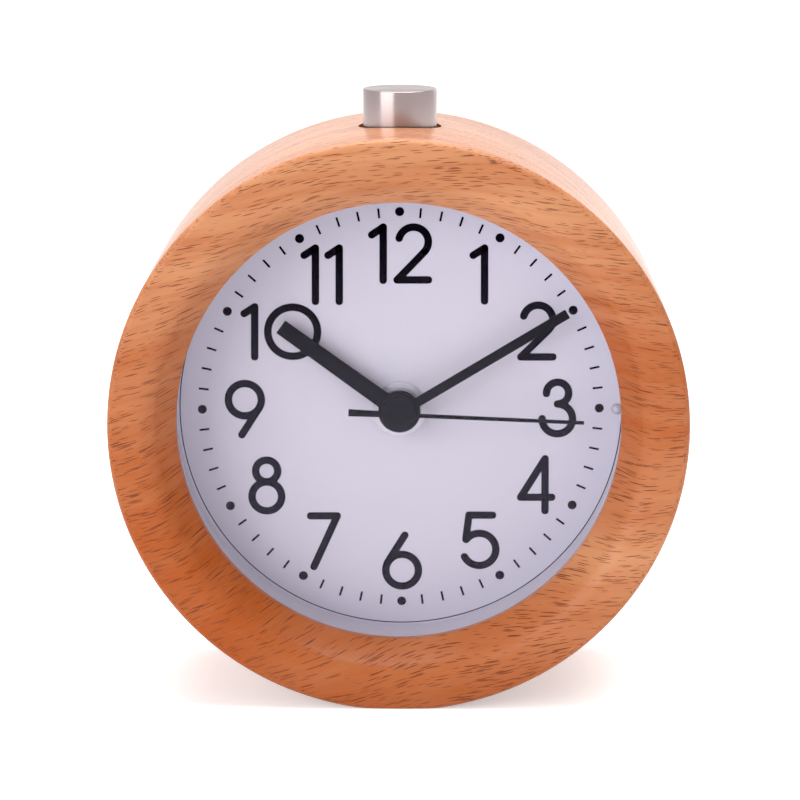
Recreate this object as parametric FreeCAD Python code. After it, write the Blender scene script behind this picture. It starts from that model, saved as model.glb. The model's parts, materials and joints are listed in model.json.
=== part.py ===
"""Round wooden alarm clock with a quartz gear train, hands, snooze button and rear controls.

Millimetres. X is to the right as the dial is read, Y runs from the front rim to the back rim, Z is up.
The origin is under the middle of the clock, on the flat that it stands on.
Every piece is drawn about the hands' axis and lifted to its height when it is written.
"""
import FreeCAD
import Part

import math
import os

Vector = FreeCAD.Vector

# General clearances
running_gap = 0.05          # radial play of a shaft in its bearing
press_bite = 0.02           # how much a pressed or screwed piece bites into its seat
rest_gap = 0.3              # play between neighbours that must not rub
overrun = 1.0               # how far a cutting tool passes the face it cuts
turning_cuts = 2            # straight cuts that make up each rounding of a turned piece
same_place = 1e-6           # points nearer than this are one point

# Cell, which sets the width and depth of the movement
cell_length = 50.5
cell_radius = 7.25
cell_nub_length = 1.2
cell_nub_radius = 2.75
cell_play = 0.6
contact_thickness = 0.3
contact_height = 9.0
contact_width = 7.0
contact_spring_room = 2.5
contact_spring_wire_radius = 0.25
contact_spring_radius = 2.8
contact_spring_turns = 2

# Movement shells
movement_wall = 1.2
movement_corner_radius = 3.0
movement_split_depth = 8.5
movement_gap = 1.4
partition_thickness = 1.0
pillar_radius = 1.2
board_post_radius = 1.5

# Wooden case
case_wall = 9.0
case_edge_radius = 1.2
base_flat_depth = 0.6
lip_width = 2.5
lip_setback = 6.2
lip_land = 1.5
funnel_width = 4.5
funnel_rounding = 5.0
rear_wall = 4.0
rear_recess_depth = 6.0

# Lens, dial ring and dial
lens_thickness = 2.0
lens_play = 0.3
lens_chamfer = 0.3
ring_play = 0.2
ring_wall = 1.3
dial_ring_depth = 10.0
dial_thickness = 0.8
dial_seat_width = 0.7

# Lamp beside the three o'clock mark
lamp_radius = 0.9
lamp_edge_gap = 0.2
lamp_flange_radius = 1.3
lamp_flange_thickness = 0.5
lamp_body_length = 3.0
lead_width = 0.5
lead_spacing = 1.0
lead_drop = 5.4

# Centre post, washer and nut
post_radius = 3.3
post_height = 1.5
washer_radius = 4.8
washer_thickness = 0.3
nut_radius = 3.8
nut_height = 1.1

# Gear layers, from the front plate backwards
layer_gap = 0.35
alarm_wheel_thickness = 1.0
hour_wheel_thickness = 1.0
change_wheel_thickness = 1.0
centre_gear_thickness = 0.8
middle_plate_thickness = 0.8
third_wheel_thickness = 0.7
second_wheel_thickness = 0.7
step_wheel_thickness = 0.7
magnet_thickness = 1.6
bridge_thickness = 1.0

# Tubes and arbors on the hands' axis
second_arbor_radius = 0.5
minute_tube_wall = 0.75
hour_tube_wall = 0.7
alarm_tube_wall = 0.6
pivot_radius = 0.5
pivot_reach = 0.8
magnet_radius = 2.0

# Tooth counts
rotor_teeth = 8
step_wheel_teeth = 40
step_pinion_teeth = 8
second_wheel_teeth = 48
second_pinion_teeth = 8
third_wheel_teeth = 64
third_pinion_teeth = 8
centre_gear_teeth = 60
minute_pinion_teeth = 12
change_wheel_teeth = 36
change_pinion_teeth = 10
hour_wheel_teeth = 40
time_pinion_teeth = 14
alarm_wheel_teeth = 32
alarm_pinion_teeth = 20

# Distances between arbors, and the directions of the lines between them, in degrees from +X towards +Z
rotor_distance = 4.8
rotor_direction = 180.0
step_distance = 5.6
step_direction = 230.0
third_distance = 7.6
third_direction = 130.0
change_distance = 7.8
change_direction = -20.0
time_distance = 8.125
time_direction = -5.0
alarm_distance = 9.6
alarm_direction = 60.0

# Tooth form: heights as shares of the module, widths as shares of the pitch
tooth_head_share = 0.8
tooth_foot_share = 1.1
tooth_tip_share = 0.17
tooth_root_share = 0.52

# Plates that carry the train
train_plate_left = 15.5
train_plate_right = 20.5
train_plate_low = 10.0
train_plate_high = 15.0
train_plate_corner = 2.0
pillar_inset = 1.7

# Drive coil and stator
stator_thickness = 0.8
stator_leg_width = 4.0
stator_hole_play = 0.5
coil_offset = 20.5
coil_radius = 3.0
coil_flange_radius = 3.5
coil_flange_thickness = 0.5
stator_high = 9.0
coil_core_width = 2.6
coil_core_play = 0.1

# Hands, measured from the hands' axis and from the dial's face; angles clockwise from twelve
alarm_hand_angle = 306.0
alarm_hand_length = 21.5
alarm_hand_width = 1.4
alarm_hand_height = 1.7
alarm_hub_radius = 3.2
alarm_hub_thickness = 0.4
hour_hand_angle = 306.0
hour_hand_length = 25.7
hour_hand_root_width = 3.0
hour_hand_tip_width = 2.7
hour_hub_radius = 3.57
hour_hub_height = 2.3
hour_hub_thickness = 1.0
minute_hand_angle = 58.9
minute_hand_length = 34.3
minute_hand_width = 1.7
minute_hub_radius = 3.2
minute_hub_height = 3.5
minute_hub_thickness = 0.9
second_hand_angle = 92.4
second_hand_length = 32.4
second_hand_root_width = 0.72
second_hand_tip_width = 0.62
second_tail_length = 8.9
second_tail_root_width = 0.95
second_tail_end_width = 1.27
second_cap_radius = 2.9
second_cap_height = 4.8
second_cap_thickness = 1.7
second_cap_rounding = 0.3
hand_thickness = 0.35

# Snooze button, its plunger and its switch
button_behind_dial = 4.25
button_radius = 6.48
button_rise = 6.1
button_sink = 2.2
button_travel = 1.2
button_edge = 0.35
button_well_radius = 7.3
button_well_depth = 4.6
button_cavity_radius = 4.2
button_roof = 3.1
stem_radius = 1.6
stem_seat = 1.5
guide_radius = 3.2
guide_flange_radius = 5.0
guide_flange_thickness = 0.8
guide_reach = 0.5
button_spring_radius = 3.0
button_spring_wire_radius = 0.3
button_spring_turns = 4
clip_radius = 3.2
clip_thickness = 0.6
clip_groove = 0.4
clip_mouth = 1.6
switch_width = 6.0
switch_height = 3.5
switch_plunger_radius = 1.75
switch_plunger_height = 1.0
switch_board_thickness = 1.2
switch_board_half_length = 8.5
switch_rib_height = 2.4
switch_rib_width = 2.0
switch_board_depth = 6.5

# Circuit board and what it carries
board_thickness = 1.0
board_setback = 10.8
board_low = 16.0
board_margin = 0.8
board_post_inset = 3.0
crystal_radius = 1.5
crystal_length = 6.0
crystal_offset = 4.0
chip_radius = 3.0
chip_height = 1.4
chip_offset = 6.0
buzzer_radius = 4.6
buzzer_offset = 16.0
parts_line = 21.6

# Back cover, screws, battery door and controls
cover_thickness = 2.0
cover_play = 0.2
cover_post_radius = 2.0
cover_post_gap = 3.0
cover_post_angle = 20.0
screw_head_radius = 1.9
screw_head_height = 1.0
screw_shank_radius = 1.0
screw_length = 7.0
screw_count = 4
door_margin = 1.5
door_lip_thickness = 1.0
door_play = 0.15
door_corner_radius = 1.0
door_tab_width = 9.0
door_tab_slit = 0.8
door_tab_height = 4.0
finger_notch_radius = 5.0
sound_hole_radius = 0.7
sound_hole_spacing = 2.4
sound_hole_count = 6
knob_radius = 6.2
knob_height = 5.0
knob_gap = 0.3
knob_ridges = 24
knob_ridge_depth = 0.5
knob_cap_inset = 1.0
knob_skirt = 1.2
setting_shaft_radius = 1.0
shaft_hole_play = 0.3
shaft_seat = 3.2
slider_offset = 15.0
slider_base_length = 8.0
slider_base_width = 5.0
slider_stem_length = 3.4
slider_stem_width = 2.4
slider_cap_length = 5.0
slider_cap_width = 3.6
slider_cap_height = 1.6
slider_cap_grooves = 3
slider_groove_width = 0.5
slider_groove_depth = 0.4
slider_travel = 4.0

# Radii that follow from the cell, the walls and the gaps
movement_inner_half = (cell_length + contact_spring_room + 2 * contact_thickness) / 2
movement_half = movement_inner_half + movement_wall
bore_radius = movement_half * math.sqrt(2) + movement_gap
case_radius = bore_radius + case_wall
rear_bore_radius = case_radius - rear_wall
lip_radius = bore_radius - lip_width
axis_height = case_radius - base_flat_depth
lens_radius = bore_radius - lens_play
ring_outer_radius = bore_radius - ring_play
ring_inner_radius = ring_outer_radius - ring_wall
dial_radius = ring_inner_radius + dial_seat_width
lamp_circle = ring_inner_radius - lamp_radius - lamp_edge_gap
cover_radius = rear_bore_radius - cover_play
screw_circle = (bore_radius + rear_bore_radius) / 2

# Places along Y, from the front rim to the back rim
movement_depth = 2 * movement_wall + 2 * cell_radius + cell_play
case_depth = (lip_setback + lip_land + lens_thickness + dial_ring_depth + dial_thickness
              + movement_depth + cover_thickness + rear_recess_depth)
front_y = -case_depth / 2
rear_y = case_depth / 2
lens_front_y = front_y + lip_setback + lip_land
lens_back_y = lens_front_y + lens_thickness
dial_face_y = lens_back_y + dial_ring_depth
dial_back_y = dial_face_y + dial_thickness
train_y = dial_back_y + movement_wall
cover_inner_y = dial_back_y + movement_depth
cover_outer_y = cover_inner_y + cover_thickness
rear_wall_y = cover_inner_y - movement_wall
split_y = dial_back_y + movement_split_depth
board_y = train_y + board_setback
button_y = dial_back_y + button_behind_dial

# Gear layers along Y
alarm_layer_y = train_y + layer_gap
hour_layer_y = alarm_layer_y + alarm_wheel_thickness + layer_gap
change_layer_y = hour_layer_y + hour_wheel_thickness + layer_gap
centre_layer_y = change_layer_y + change_wheel_thickness + layer_gap
middle_plate_y = centre_layer_y + centre_gear_thickness + layer_gap
third_layer_y = middle_plate_y + middle_plate_thickness + layer_gap
second_layer_y = third_layer_y + third_wheel_thickness + layer_gap
step_layer_y = second_layer_y + second_wheel_thickness + layer_gap
magnet_y = step_layer_y + step_wheel_thickness + layer_gap
bridge_y = magnet_y + magnet_thickness + layer_gap
stator_y = magnet_y + (magnet_thickness - stator_thickness) / 2
core_y = stator_y + stator_thickness

# Radii of the tubes on the hands' axis
minute_bore = second_arbor_radius + running_gap
minute_tube_radius = minute_bore + minute_tube_wall
hour_bore = minute_tube_radius + running_gap
hour_tube_radius = hour_bore + hour_tube_wall
alarm_bore = hour_tube_radius + running_gap
alarm_tube_radius = alarm_bore + alarm_tube_wall
post_bore = alarm_tube_radius + running_gap

# Heights of the cell and of what stands above the movement
cell_height = -(movement_inner_half - cell_play / 2 - cell_radius)
cell_y = train_y + cell_play / 2 + cell_radius
partition_low = cell_height + cell_radius + cell_play / 2
partition_high = partition_low + partition_thickness
switch_board_low = movement_half + switch_rib_height
switch_board_high = switch_board_low + switch_board_thickness
switch_top = switch_board_high + switch_height + switch_plunger_height
stem_low = switch_top + running_gap + button_travel
guide_low = bore_radius - guide_reach
button_well_floor = case_radius - button_well_depth
guide_flange_top = button_well_floor + guide_flange_thickness
button_top = case_radius + button_rise
button_low = case_radius - button_sink
button_ceiling = button_top - button_roof

# Battery door
door_half_length = movement_inner_half + door_margin
door_half_height = cell_radius + door_margin
door_step_y = cover_outer_y - door_lip_thickness

# Knobs on the back
knob_y = cover_outer_y + knob_gap
shaft_end_y = knob_y + shaft_seat


def above_dial(height):
    """Return the Y of a place that stands this high in front of the dial's face."""
    return dial_face_y - height


def polar(distance, degrees, centre=(0.0, 0.0)):
    """Return (x, z) at a distance and direction from a centre."""
    turn = math.radians(degrees)
    return centre[0] + distance * math.cos(turn), centre[1] + distance * math.sin(turn)


def rod(radius, y_from, y_to, centre=(0.0, 0.0)):
    """Cylinder along Y."""
    return Part.makeCylinder(radius, y_to - y_from, Vector(centre[0], y_from, centre[1]), Vector(0, 1, 0))


def upright(radius, z_from, z_to, x, y):
    """Cylinder along Z."""
    return Part.makeCylinder(radius, z_to - z_from, Vector(x, y, z_from))


def crosswise(radius, x_from, x_to, y, z):
    """Cylinder along X."""
    return Part.makeCylinder(radius, x_to - x_from, Vector(x_from, y, z), Vector(1, 0, 0))


def block(x_from, x_to, y_from, y_to, z_from, z_to):
    """Box between two corners."""
    return Part.makeBox(x_to - x_from, y_to - y_from, z_to - z_from, Vector(x_from, y_from, z_from))


def joined(*shapes):
    """Union of touching shapes as one solid."""
    return shapes[0].fuse(list(shapes[1:])).removeSplitter()


def without(shape, *tools):
    """The shape with all tools cut away."""
    return shape.cut(list(tools))


def rounded_wire(corners, place):
    """Closed wire through corners (u, v, rounding radius), laid in space by place(u, v)."""
    edges = []
    starts = []
    ends = []
    arcs = []
    for index, (u, v, radius) in enumerate(corners):
        here = Vector(u, v, 0)
        before = Vector(corners[index - 1][0], corners[index - 1][1], 0)
        following = corners[(index + 1) % len(corners)]
        after = Vector(following[0], following[1], 0)
        to_before = (before - here).normalize()
        to_after = (after - here).normalize()
        half_angle = to_before.getAngle(to_after) / 2
        reach = radius / math.tan(half_angle)
        starts.append(here + to_before * reach)
        ends.append(here + to_after * reach)
        if radius > 0:
            inward = (to_before + to_after).normalize()
            arcs.append(here + inward * (radius / math.sin(half_angle) - radius))
        else:
            arcs.append(None)
    for index, middle in enumerate(arcs):
        start = starts[index]
        end = ends[index]
        following_start = starts[(index + 1) % len(corners)]
        if middle is not None:
            edges.append(Part.Arc(place(start), place(middle), place(end)).toShape())
        if not end.isEqual(following_start, same_place):
            edges.append(Part.makeLine(place(end), place(following_start)))
    return Part.Wire(edges)


def cut_points(before, here, after, radius):
    """Ends of the straight cuts that round off a corner."""
    to_before = (before - here).normalize()
    to_after = (after - here).normalize()
    half_angle = to_before.getAngle(to_after) / 2
    centre = here + (to_before + to_after).normalize() * (radius / math.sin(half_angle))
    first = here + to_before * (radius / math.tan(half_angle)) - centre
    last = here + to_after * (radius / math.tan(half_angle)) - centre
    sweep = first.getAngle(last)
    points = []
    for index in range(turning_cuts + 1):
        turn = sweep * index / turning_cuts
        points.append(centre + (first * math.sin(sweep - turn) + last * math.sin(turn)) * (1 / math.sin(sweep)))
    return points


def turned(corners):
    """Solid of revolution about the hands' axis, from corners (radius, y, rounding radius)."""
    spots = [Vector(radius, y, 0) for radius, y, _ in corners]
    points = []
    for index, (_, _, rounding) in enumerate(corners):
        if rounding > 0:
            points += cut_points(spots[index - 1], spots[index], spots[(index + 1) % len(spots)], rounding)
        else:
            points.append(spots[index])
    points.append(points[0])
    return Part.Face(Part.makePolygon(points)).revolve(Vector(0, 0, 0), Vector(0, 1, 0), 360)


def slab(corners, y_from, y_to):
    """Plate square to Y, from corners (x, z, rounding radius)."""
    wire = rounded_wire(corners, lambda p: Vector(p.x, y_from, p.y))
    return Part.Face(wire).extrude(Vector(0, y_to - y_from, 0))


def rounded_slab(half_width, z_low, z_high, corner, y_from, y_to):
    """Rectangular plate with rounded corners, centred on x = 0."""
    corners = [(-half_width, z_low, corner), (half_width, z_low, corner),
               (half_width, z_high, corner), (-half_width, z_high, corner)]
    return slab(corners, y_from, y_to)


def module_of(distance, teeth, other_teeth):
    """Module of a pair of gears that are this far apart."""
    return 2 * distance / (teeth + other_teeth)


def meshed_phase(phase, teeth, other_teeth, direction):
    """Turn of the second gear of a pair, in degrees, so that its gap faces the first gear's tooth."""
    offset = (phase - direction) * teeth / 360.0
    return direction + 180.0 + (0.5 - offset) * 360.0 / other_teeth


def toothed(teeth, root_radius, tip_radius, root_share, tip_share, y_from, y_to, centre, phase):
    """Disc with flat-sided teeth."""
    pitch = 360.0 / teeth
    points = []
    for index in range(teeth):
        middle = phase + index * pitch
        for radius, share in ((root_radius, -root_share), (tip_radius, -tip_share),
                              (tip_radius, tip_share), (root_radius, root_share)):
            x, z = polar(radius, middle + share * pitch / 2, centre)
            points.append(Vector(x, y_from, z))
    points.append(points[0])
    return Part.Face(Part.makePolygon(points)).extrude(Vector(0, y_to - y_from, 0))


def gear(teeth, module, y_from, y_to, centre=(0.0, 0.0), phase=0.0):
    """Spur gear or pinion about an arbor along Y."""
    pitch_radius = module * teeth / 2
    root_radius = pitch_radius - module * tooth_foot_share
    tip_radius = pitch_radius + module * tooth_head_share
    return toothed(teeth, root_radius, tip_radius, tooth_root_share, tooth_tip_share,
                   y_from, y_to, centre, phase)


def coil_spring(radius, wire_radius, length, turns):
    """Flat-sided wire wound about Z, from z = 0 up."""
    path = Part.makeHelix(length / turns, length, radius)
    first = path.Edges[0]
    start = first.valueAt(first.FirstParameter)
    outward = Vector(1, 0, 0)
    sideways = first.tangentAt(first.FirstParameter).cross(outward).normalize()
    corners = [start + outward * (wire_radius * u) + sideways * (wire_radius * v)
               for u, v in ((1, 1), (-1, 1), (-1, -1), (1, -1))]
    section = Part.makePolygon(corners + [corners[0]])
    return path.makePipeShell([section], True, True)


# Places of the arbors, as (x, z)
axis_centre = (0.0, 0.0)
third_centre = polar(third_distance, third_direction)
step_centre = polar(step_distance, step_direction)
rotor_centre = polar(rotor_distance, rotor_direction, step_centre)
change_centre = polar(change_distance, change_direction)
time_centre = polar(time_distance, time_direction, change_centre)
alarm_centre = polar(alarm_distance, alarm_direction)

# Modules of the meshing pairs
rotor_module = module_of(rotor_distance, step_wheel_teeth, rotor_teeth)
step_module = module_of(step_distance, second_wheel_teeth, step_pinion_teeth)
third_module = module_of(third_distance, third_wheel_teeth, second_pinion_teeth)
centre_module = module_of(third_distance, centre_gear_teeth, third_pinion_teeth)
change_module = module_of(change_distance, change_wheel_teeth, minute_pinion_teeth)
hour_module = module_of(change_distance, hour_wheel_teeth, change_pinion_teeth)
time_module = module_of(time_distance, change_wheel_teeth, time_pinion_teeth)
alarm_module = module_of(alarm_distance, alarm_wheel_teeth, alarm_pinion_teeth)

# Turns of the gears at rest, in degrees
third_phase = meshed_phase(0.0, second_pinion_teeth, third_wheel_teeth, third_direction)
centre_phase = meshed_phase(third_phase, third_pinion_teeth, centre_gear_teeth, third_direction + 180.0)
step_phase = meshed_phase(0.0, second_wheel_teeth, step_pinion_teeth, step_direction)
rotor_phase = meshed_phase(step_phase, step_wheel_teeth, rotor_teeth, rotor_direction)
change_phase = meshed_phase(0.0, minute_pinion_teeth, change_wheel_teeth, change_direction)
hour_phase = meshed_phase(change_phase, change_pinion_teeth, hour_wheel_teeth, change_direction + 180.0)
time_phase = meshed_phase(change_phase, change_wheel_teeth, time_pinion_teeth, time_direction)
alarm_phase = meshed_phase(0.0, alarm_wheel_teeth, alarm_pinion_teeth, alarm_direction)

# Pillars at the corners of the train plates
pillar_places = [(x, z)
                 for x in (-train_plate_left + pillar_inset, train_plate_right - pillar_inset)
                 for z in (-train_plate_low + pillar_inset, train_plate_high - pillar_inset)]

# Posts that carry the circuit board
board_half = movement_inner_half - board_margin
board_high = movement_inner_half - board_margin
board_post_places = [(side * (board_half - board_post_inset), parts_line) for side in (-1, 1)]

# Places round the back cover
cover_post_circle = bore_radius - cover_post_radius - cover_post_gap
cover_post_places = [polar(cover_post_circle, base + sign * cover_post_angle)
                     for base in (0.0, 180.0) for sign in (-1, 1)]
screw_places = [polar(screw_circle, (index + 0.5) * 360.0 / screw_count) for index in range(screw_count)]
sound_places = [(buzzer_offset, parts_line)]
sound_places += [polar(sound_hole_spacing, index * 360.0 / sound_hole_count, (buzzer_offset, parts_line))
                 for index in range(sound_hole_count)]


def wooden_case():
    """Turned wooden drum with a funnel-shaped bezel, a stepped bore, a base flat and the button's well."""
    funnel_top = lip_radius + funnel_width
    drum = turned([
        (case_radius, front_y, case_edge_radius),
        (case_radius, rear_y, case_edge_radius),
        (rear_bore_radius, rear_y, 0),
        (rear_bore_radius, cover_inner_y, 0),
        (bore_radius, cover_inner_y, 0),
        (bore_radius, lens_front_y, 0),
        (lip_radius, lens_front_y, 0),
        (lip_radius, front_y + lip_setback, 0),
        (funnel_top, front_y, funnel_rounding),
    ])
    under = block(-case_radius, case_radius, front_y - overrun, rear_y + overrun,
                  -case_radius - overrun, -axis_height)
    well = upright(button_well_radius, button_well_floor, case_radius + overrun, 0, button_y)
    guide_hole = upright(guide_radius - press_bite, 0, button_well_floor + overrun, 0, button_y)
    pilots = [rod(screw_shank_radius - press_bite, cover_outer_y - screw_length, cover_inner_y + overrun, place)
              for place in screw_places]
    return without(drum, under, well, guide_hole, *pilots)


def front_lens():
    """Flat disc with bevelled edges behind the wooden lip."""
    return turned([
        (0, lens_front_y, 0),
        (lens_radius - lens_chamfer, lens_front_y, 0),
        (lens_radius, lens_front_y + lens_chamfer, 0),
        (lens_radius, lens_back_y - lens_chamfer, 0),
        (lens_radius - lens_chamfer, lens_back_y, 0),
        (0, lens_back_y, 0),
    ])


def dial_ring():
    """Moulded ring between the lens and the dial, with a seat for the dial's edge."""
    return turned([
        (ring_inner_radius, lens_back_y, 0),
        (ring_outer_radius, lens_back_y, 0),
        (ring_outer_radius, dial_back_y, 0),
        (dial_radius + running_gap, dial_back_y, 0),
        (dial_radius + running_gap, dial_face_y, 0),
        (ring_inner_radius, dial_face_y, 0),
    ])


def dial():
    """Dial disc with holes for the centre post and the lamp."""
    disc = rod(dial_radius, dial_face_y, dial_back_y)
    post_hole = rod(post_radius + running_gap, dial_face_y - overrun, dial_back_y + overrun)
    lamp_hole = rod(lamp_radius + running_gap, dial_face_y - overrun, dial_back_y + overrun, (lamp_circle, 0))
    return without(disc, post_hole, lamp_hole)


def dial_washer():
    """Flat washer under the nut."""
    disc = rod(washer_radius, above_dial(washer_thickness), dial_face_y)
    return without(disc, rod(post_radius + running_gap, above_dial(washer_thickness) - overrun,
                             dial_face_y + overrun))


def dial_nut():
    """Round nut that clamps the dial to the movement."""
    low = above_dial(washer_thickness)
    high = above_dial(washer_thickness + nut_height)
    return without(rod(nut_radius, high, low), rod(post_radius - press_bite, high - overrun, low + overrun))


def lamp():
    """Small clear lamp with a domed end, set in the dial."""
    back = dial_back_y + lamp_body_length
    body = rod(lamp_radius, dial_face_y, back, (lamp_circle, 0))
    flange = rod(lamp_flange_radius, dial_back_y, dial_back_y + lamp_flange_thickness, (lamp_circle, 0))
    dome = Part.makeSphere(lamp_radius, Vector(lamp_circle, dial_face_y, 0))
    return joined(body, flange, dome)


def lamp_leads():
    """Two square legs from the lamp, bent to the side of the movement."""
    start_y = dial_back_y + lamp_body_length
    corner_y = start_y + lead_drop
    half = lead_width / 2
    leads = []
    for side in (-1, 1):
        z = side * lead_spacing / 2
        leg = block(lamp_circle - half, lamp_circle + half, start_y, corner_y + half, z - half, z + half)
        foot = block(movement_half, lamp_circle + half, corner_y - half, corner_y + half, z - half, z + half)
        leads.append(joined(leg, foot))
    return Part.makeCompound(leads)


def movement_front():
    """Front tray of the movement: plate, side walls, threaded post, pillars and the switch board's ribs."""
    shell = rounded_slab(movement_half, -movement_half, movement_half, movement_corner_radius,
                         dial_back_y, split_y)
    hollow = rounded_slab(movement_inner_half, -movement_inner_half, movement_inner_half,
                          movement_corner_radius - movement_wall, train_y, split_y + overrun)
    tray = without(shell, hollow)
    post = rod(post_radius, above_dial(post_height), dial_back_y + movement_wall)
    partition = block(-movement_inner_half, movement_inner_half, train_y, split_y,
                      partition_low, partition_high)
    pillars = [rod(pillar_radius, train_y, middle_plate_y, place) for place in pillar_places]
    posts = [rod(board_post_radius, train_y, board_y, place) for place in board_post_places]
    ribs = []
    for side in (-1, 1):
        middle = side * (switch_board_half_length - switch_rib_width)
        ribs.append(block(middle - switch_rib_width / 2, middle + switch_rib_width / 2,
                          button_y - switch_board_depth / 2, button_y + switch_board_depth / 2,
                          movement_half, switch_board_low))
    body = joined(tray, post, partition, *pillars, *posts, *ribs)
    bore = rod(post_bore, above_dial(post_height) - overrun, train_y + overrun)
    pivots = [rod(pivot_radius + running_gap, train_y - pivot_reach, train_y + overrun, place)
              for place in (third_centre, change_centre, time_centre, alarm_centre)]
    return without(body, bore, *pivots)


def train_plate(y_from, thickness):
    """Plate across the gear train."""
    corners = [
        (-train_plate_left, -train_plate_low, train_plate_corner),
        (train_plate_right, -train_plate_low, train_plate_corner),
        (train_plate_right, train_plate_high, train_plate_corner),
        (-train_plate_left, train_plate_high, train_plate_corner),
    ]
    return slab(corners, y_from, y_from + thickness)


def middle_plate():
    """Plate between the motion work and the going train, with bearings and shaft holes."""
    y_from = middle_plate_y - overrun
    y_to = middle_plate_y + middle_plate_thickness + overrun
    bearing = pivot_radius + running_gap
    arbor_hole = rod(second_arbor_radius + running_gap, y_from, y_to)
    bearings = [rod(bearing, y_from, y_to, place) for place in (step_centre, rotor_centre, change_centre)]
    pinion_tip = centre_module * (third_pinion_teeth / 2 + tooth_head_share)
    third_hole = rod(pinion_tip + rest_gap, y_from, y_to, third_centre)
    shafts = [rod(setting_shaft_radius + shaft_hole_play, y_from, y_to, place)
              for place in (time_centre, alarm_centre)]
    return without(train_plate(middle_plate_y, middle_plate_thickness), arbor_hole, third_hole,
                   *bearings, *shafts)


def rear_bridge():
    """Rear train plate with its own pillars, down to the middle plate."""
    plate = train_plate(bridge_y, bridge_thickness)
    pillars = [rod(pillar_radius, middle_plate_y + middle_plate_thickness, bridge_y, place)
               for place in pillar_places]
    y_to = bridge_y + bridge_thickness + overrun
    bearing = pivot_radius + running_gap
    holes = [rod(bearing, bridge_y - overrun, y_to, place)
             for place in (axis_centre, third_centre, step_centre, rotor_centre)]
    shafts = [rod(setting_shaft_radius + running_gap, bridge_y - overrun, y_to, place)
              for place in (time_centre, alarm_centre)]
    return without(joined(plate, *pillars), *holes, *shafts)


def slider_slot(half_length, half_width, y_from, y_to):
    """Box round the path of the alarm switch's slider."""
    return block(-slider_offset - half_length, -slider_offset + half_length + slider_travel, y_from, y_to,
                 parts_line - half_width, parts_line + half_width)


def movement_rear():
    """Rear shell of the movement, open behind the cell and pierced for the shafts, slider and sound."""
    shell = rounded_slab(movement_half, -movement_half, movement_half, movement_corner_radius,
                         split_y, cover_inner_y)
    hollow = rounded_slab(movement_inner_half, -movement_inner_half, movement_inner_half,
                          movement_corner_radius - movement_wall, split_y - overrun, rear_wall_y)
    partition = block(-movement_inner_half, movement_inner_half, split_y, rear_wall_y,
                      partition_low, partition_high)
    y_from = rear_wall_y - overrun
    y_to = cover_inner_y + overrun
    cell_door = block(-movement_inner_half, movement_inner_half, y_from, y_to,
                      cell_height - cell_radius, cell_height + cell_radius)
    shafts = [rod(setting_shaft_radius + shaft_hole_play, y_from, y_to, place)
              for place in (time_centre, alarm_centre)]
    slot = slider_slot(slider_stem_length / 2 + rest_gap, slider_stem_width / 2 + rest_gap, y_from, y_to)
    sound = [rod(sound_hole_radius, y_from, y_to, place) for place in sound_places]
    return without(joined(without(shell, hollow), partition), cell_door, slot, *shafts, *sound)


def circuit_board():
    """Board across the top of the movement."""
    return block(-board_half, board_half, board_y, board_y + board_thickness, board_low, board_high)


def quartz_crystal():
    """Small can that lies along the board."""
    return crosswise(crystal_radius, -crystal_offset - crystal_length, -crystal_offset,
                     board_y - crystal_radius, parts_line)


def control_chip():
    """Round drop of resin over the control chip."""
    base = Part.makeCone(chip_radius, chip_radius - chip_height, chip_height,
                         Vector(chip_offset, board_y, parts_line), Vector(0, -1, 0))
    return base


def buzzer():
    """Flat round buzzer behind the sound holes."""
    y_from = board_y + board_thickness
    return rod(buzzer_radius, y_from, rear_wall_y, (buzzer_offset, parts_line))


def stator():
    """Two legs of soft iron from the rotor's hole to the ends of the coil."""
    half = stator_leg_width / 2
    x, z = rotor_centre
    left = -coil_offset - half
    low_leg = block(left, x + half, stator_y, stator_y + stator_thickness, z - half, z + half)
    riser = block(x - half, x + half, stator_y, stator_y + stator_thickness, z - half, stator_high + half)
    high_leg = block(left, x + half, stator_y, stator_y + stator_thickness,
                     stator_high - half, stator_high + half)
    hub = rod(magnet_radius + stator_hole_play + half / 2, stator_y, stator_y + stator_thickness, rotor_centre)
    hole = rod(magnet_radius + stator_hole_play, stator_y - overrun, stator_y + stator_thickness + overrun,
               rotor_centre)
    return without(joined(low_leg, riser, high_leg, hub), hole)


def coil_core():
    """Iron bar through the coil, lying on both legs of the stator."""
    half = stator_leg_width / 2
    return block(-coil_offset - coil_core_width / 2, -coil_offset + coil_core_width / 2,
                 core_y, core_y + stator_thickness, rotor_centre[1] - half, stator_high + half)


def drive_coil():
    """Wound coil with a flange at each end and a slot for the core."""
    low = rotor_centre[1] + stator_leg_width / 2
    high = stator_high - stator_leg_width / 2
    middle_y = core_y + stator_thickness / 2
    winding = upright(coil_radius, low, high, -coil_offset, middle_y)
    flanges = [upright(coil_flange_radius, base, base + coil_flange_thickness, -coil_offset, middle_y)
               for base in (low, high - coil_flange_thickness)]
    slot = block(-coil_offset - coil_core_width / 2 - coil_core_play,
                 -coil_offset + coil_core_width / 2 + coil_core_play,
                 core_y - coil_core_play, core_y + stator_thickness + coil_core_play,
                 low - overrun, high + overrun)
    return without(joined(winding, *flanges), slot)


def rotor():
    """Magnet rotor with its pinion."""
    arbor = rod(pivot_radius, middle_plate_y + middle_plate_thickness - pivot_reach,
                bridge_y + pivot_reach, rotor_centre)
    pinion = gear(rotor_teeth, rotor_module, step_layer_y, magnet_y, rotor_centre, rotor_phase)
    magnet = rod(magnet_radius, magnet_y, magnet_y + magnet_thickness, rotor_centre)
    return joined(arbor, pinion, magnet)


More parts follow.
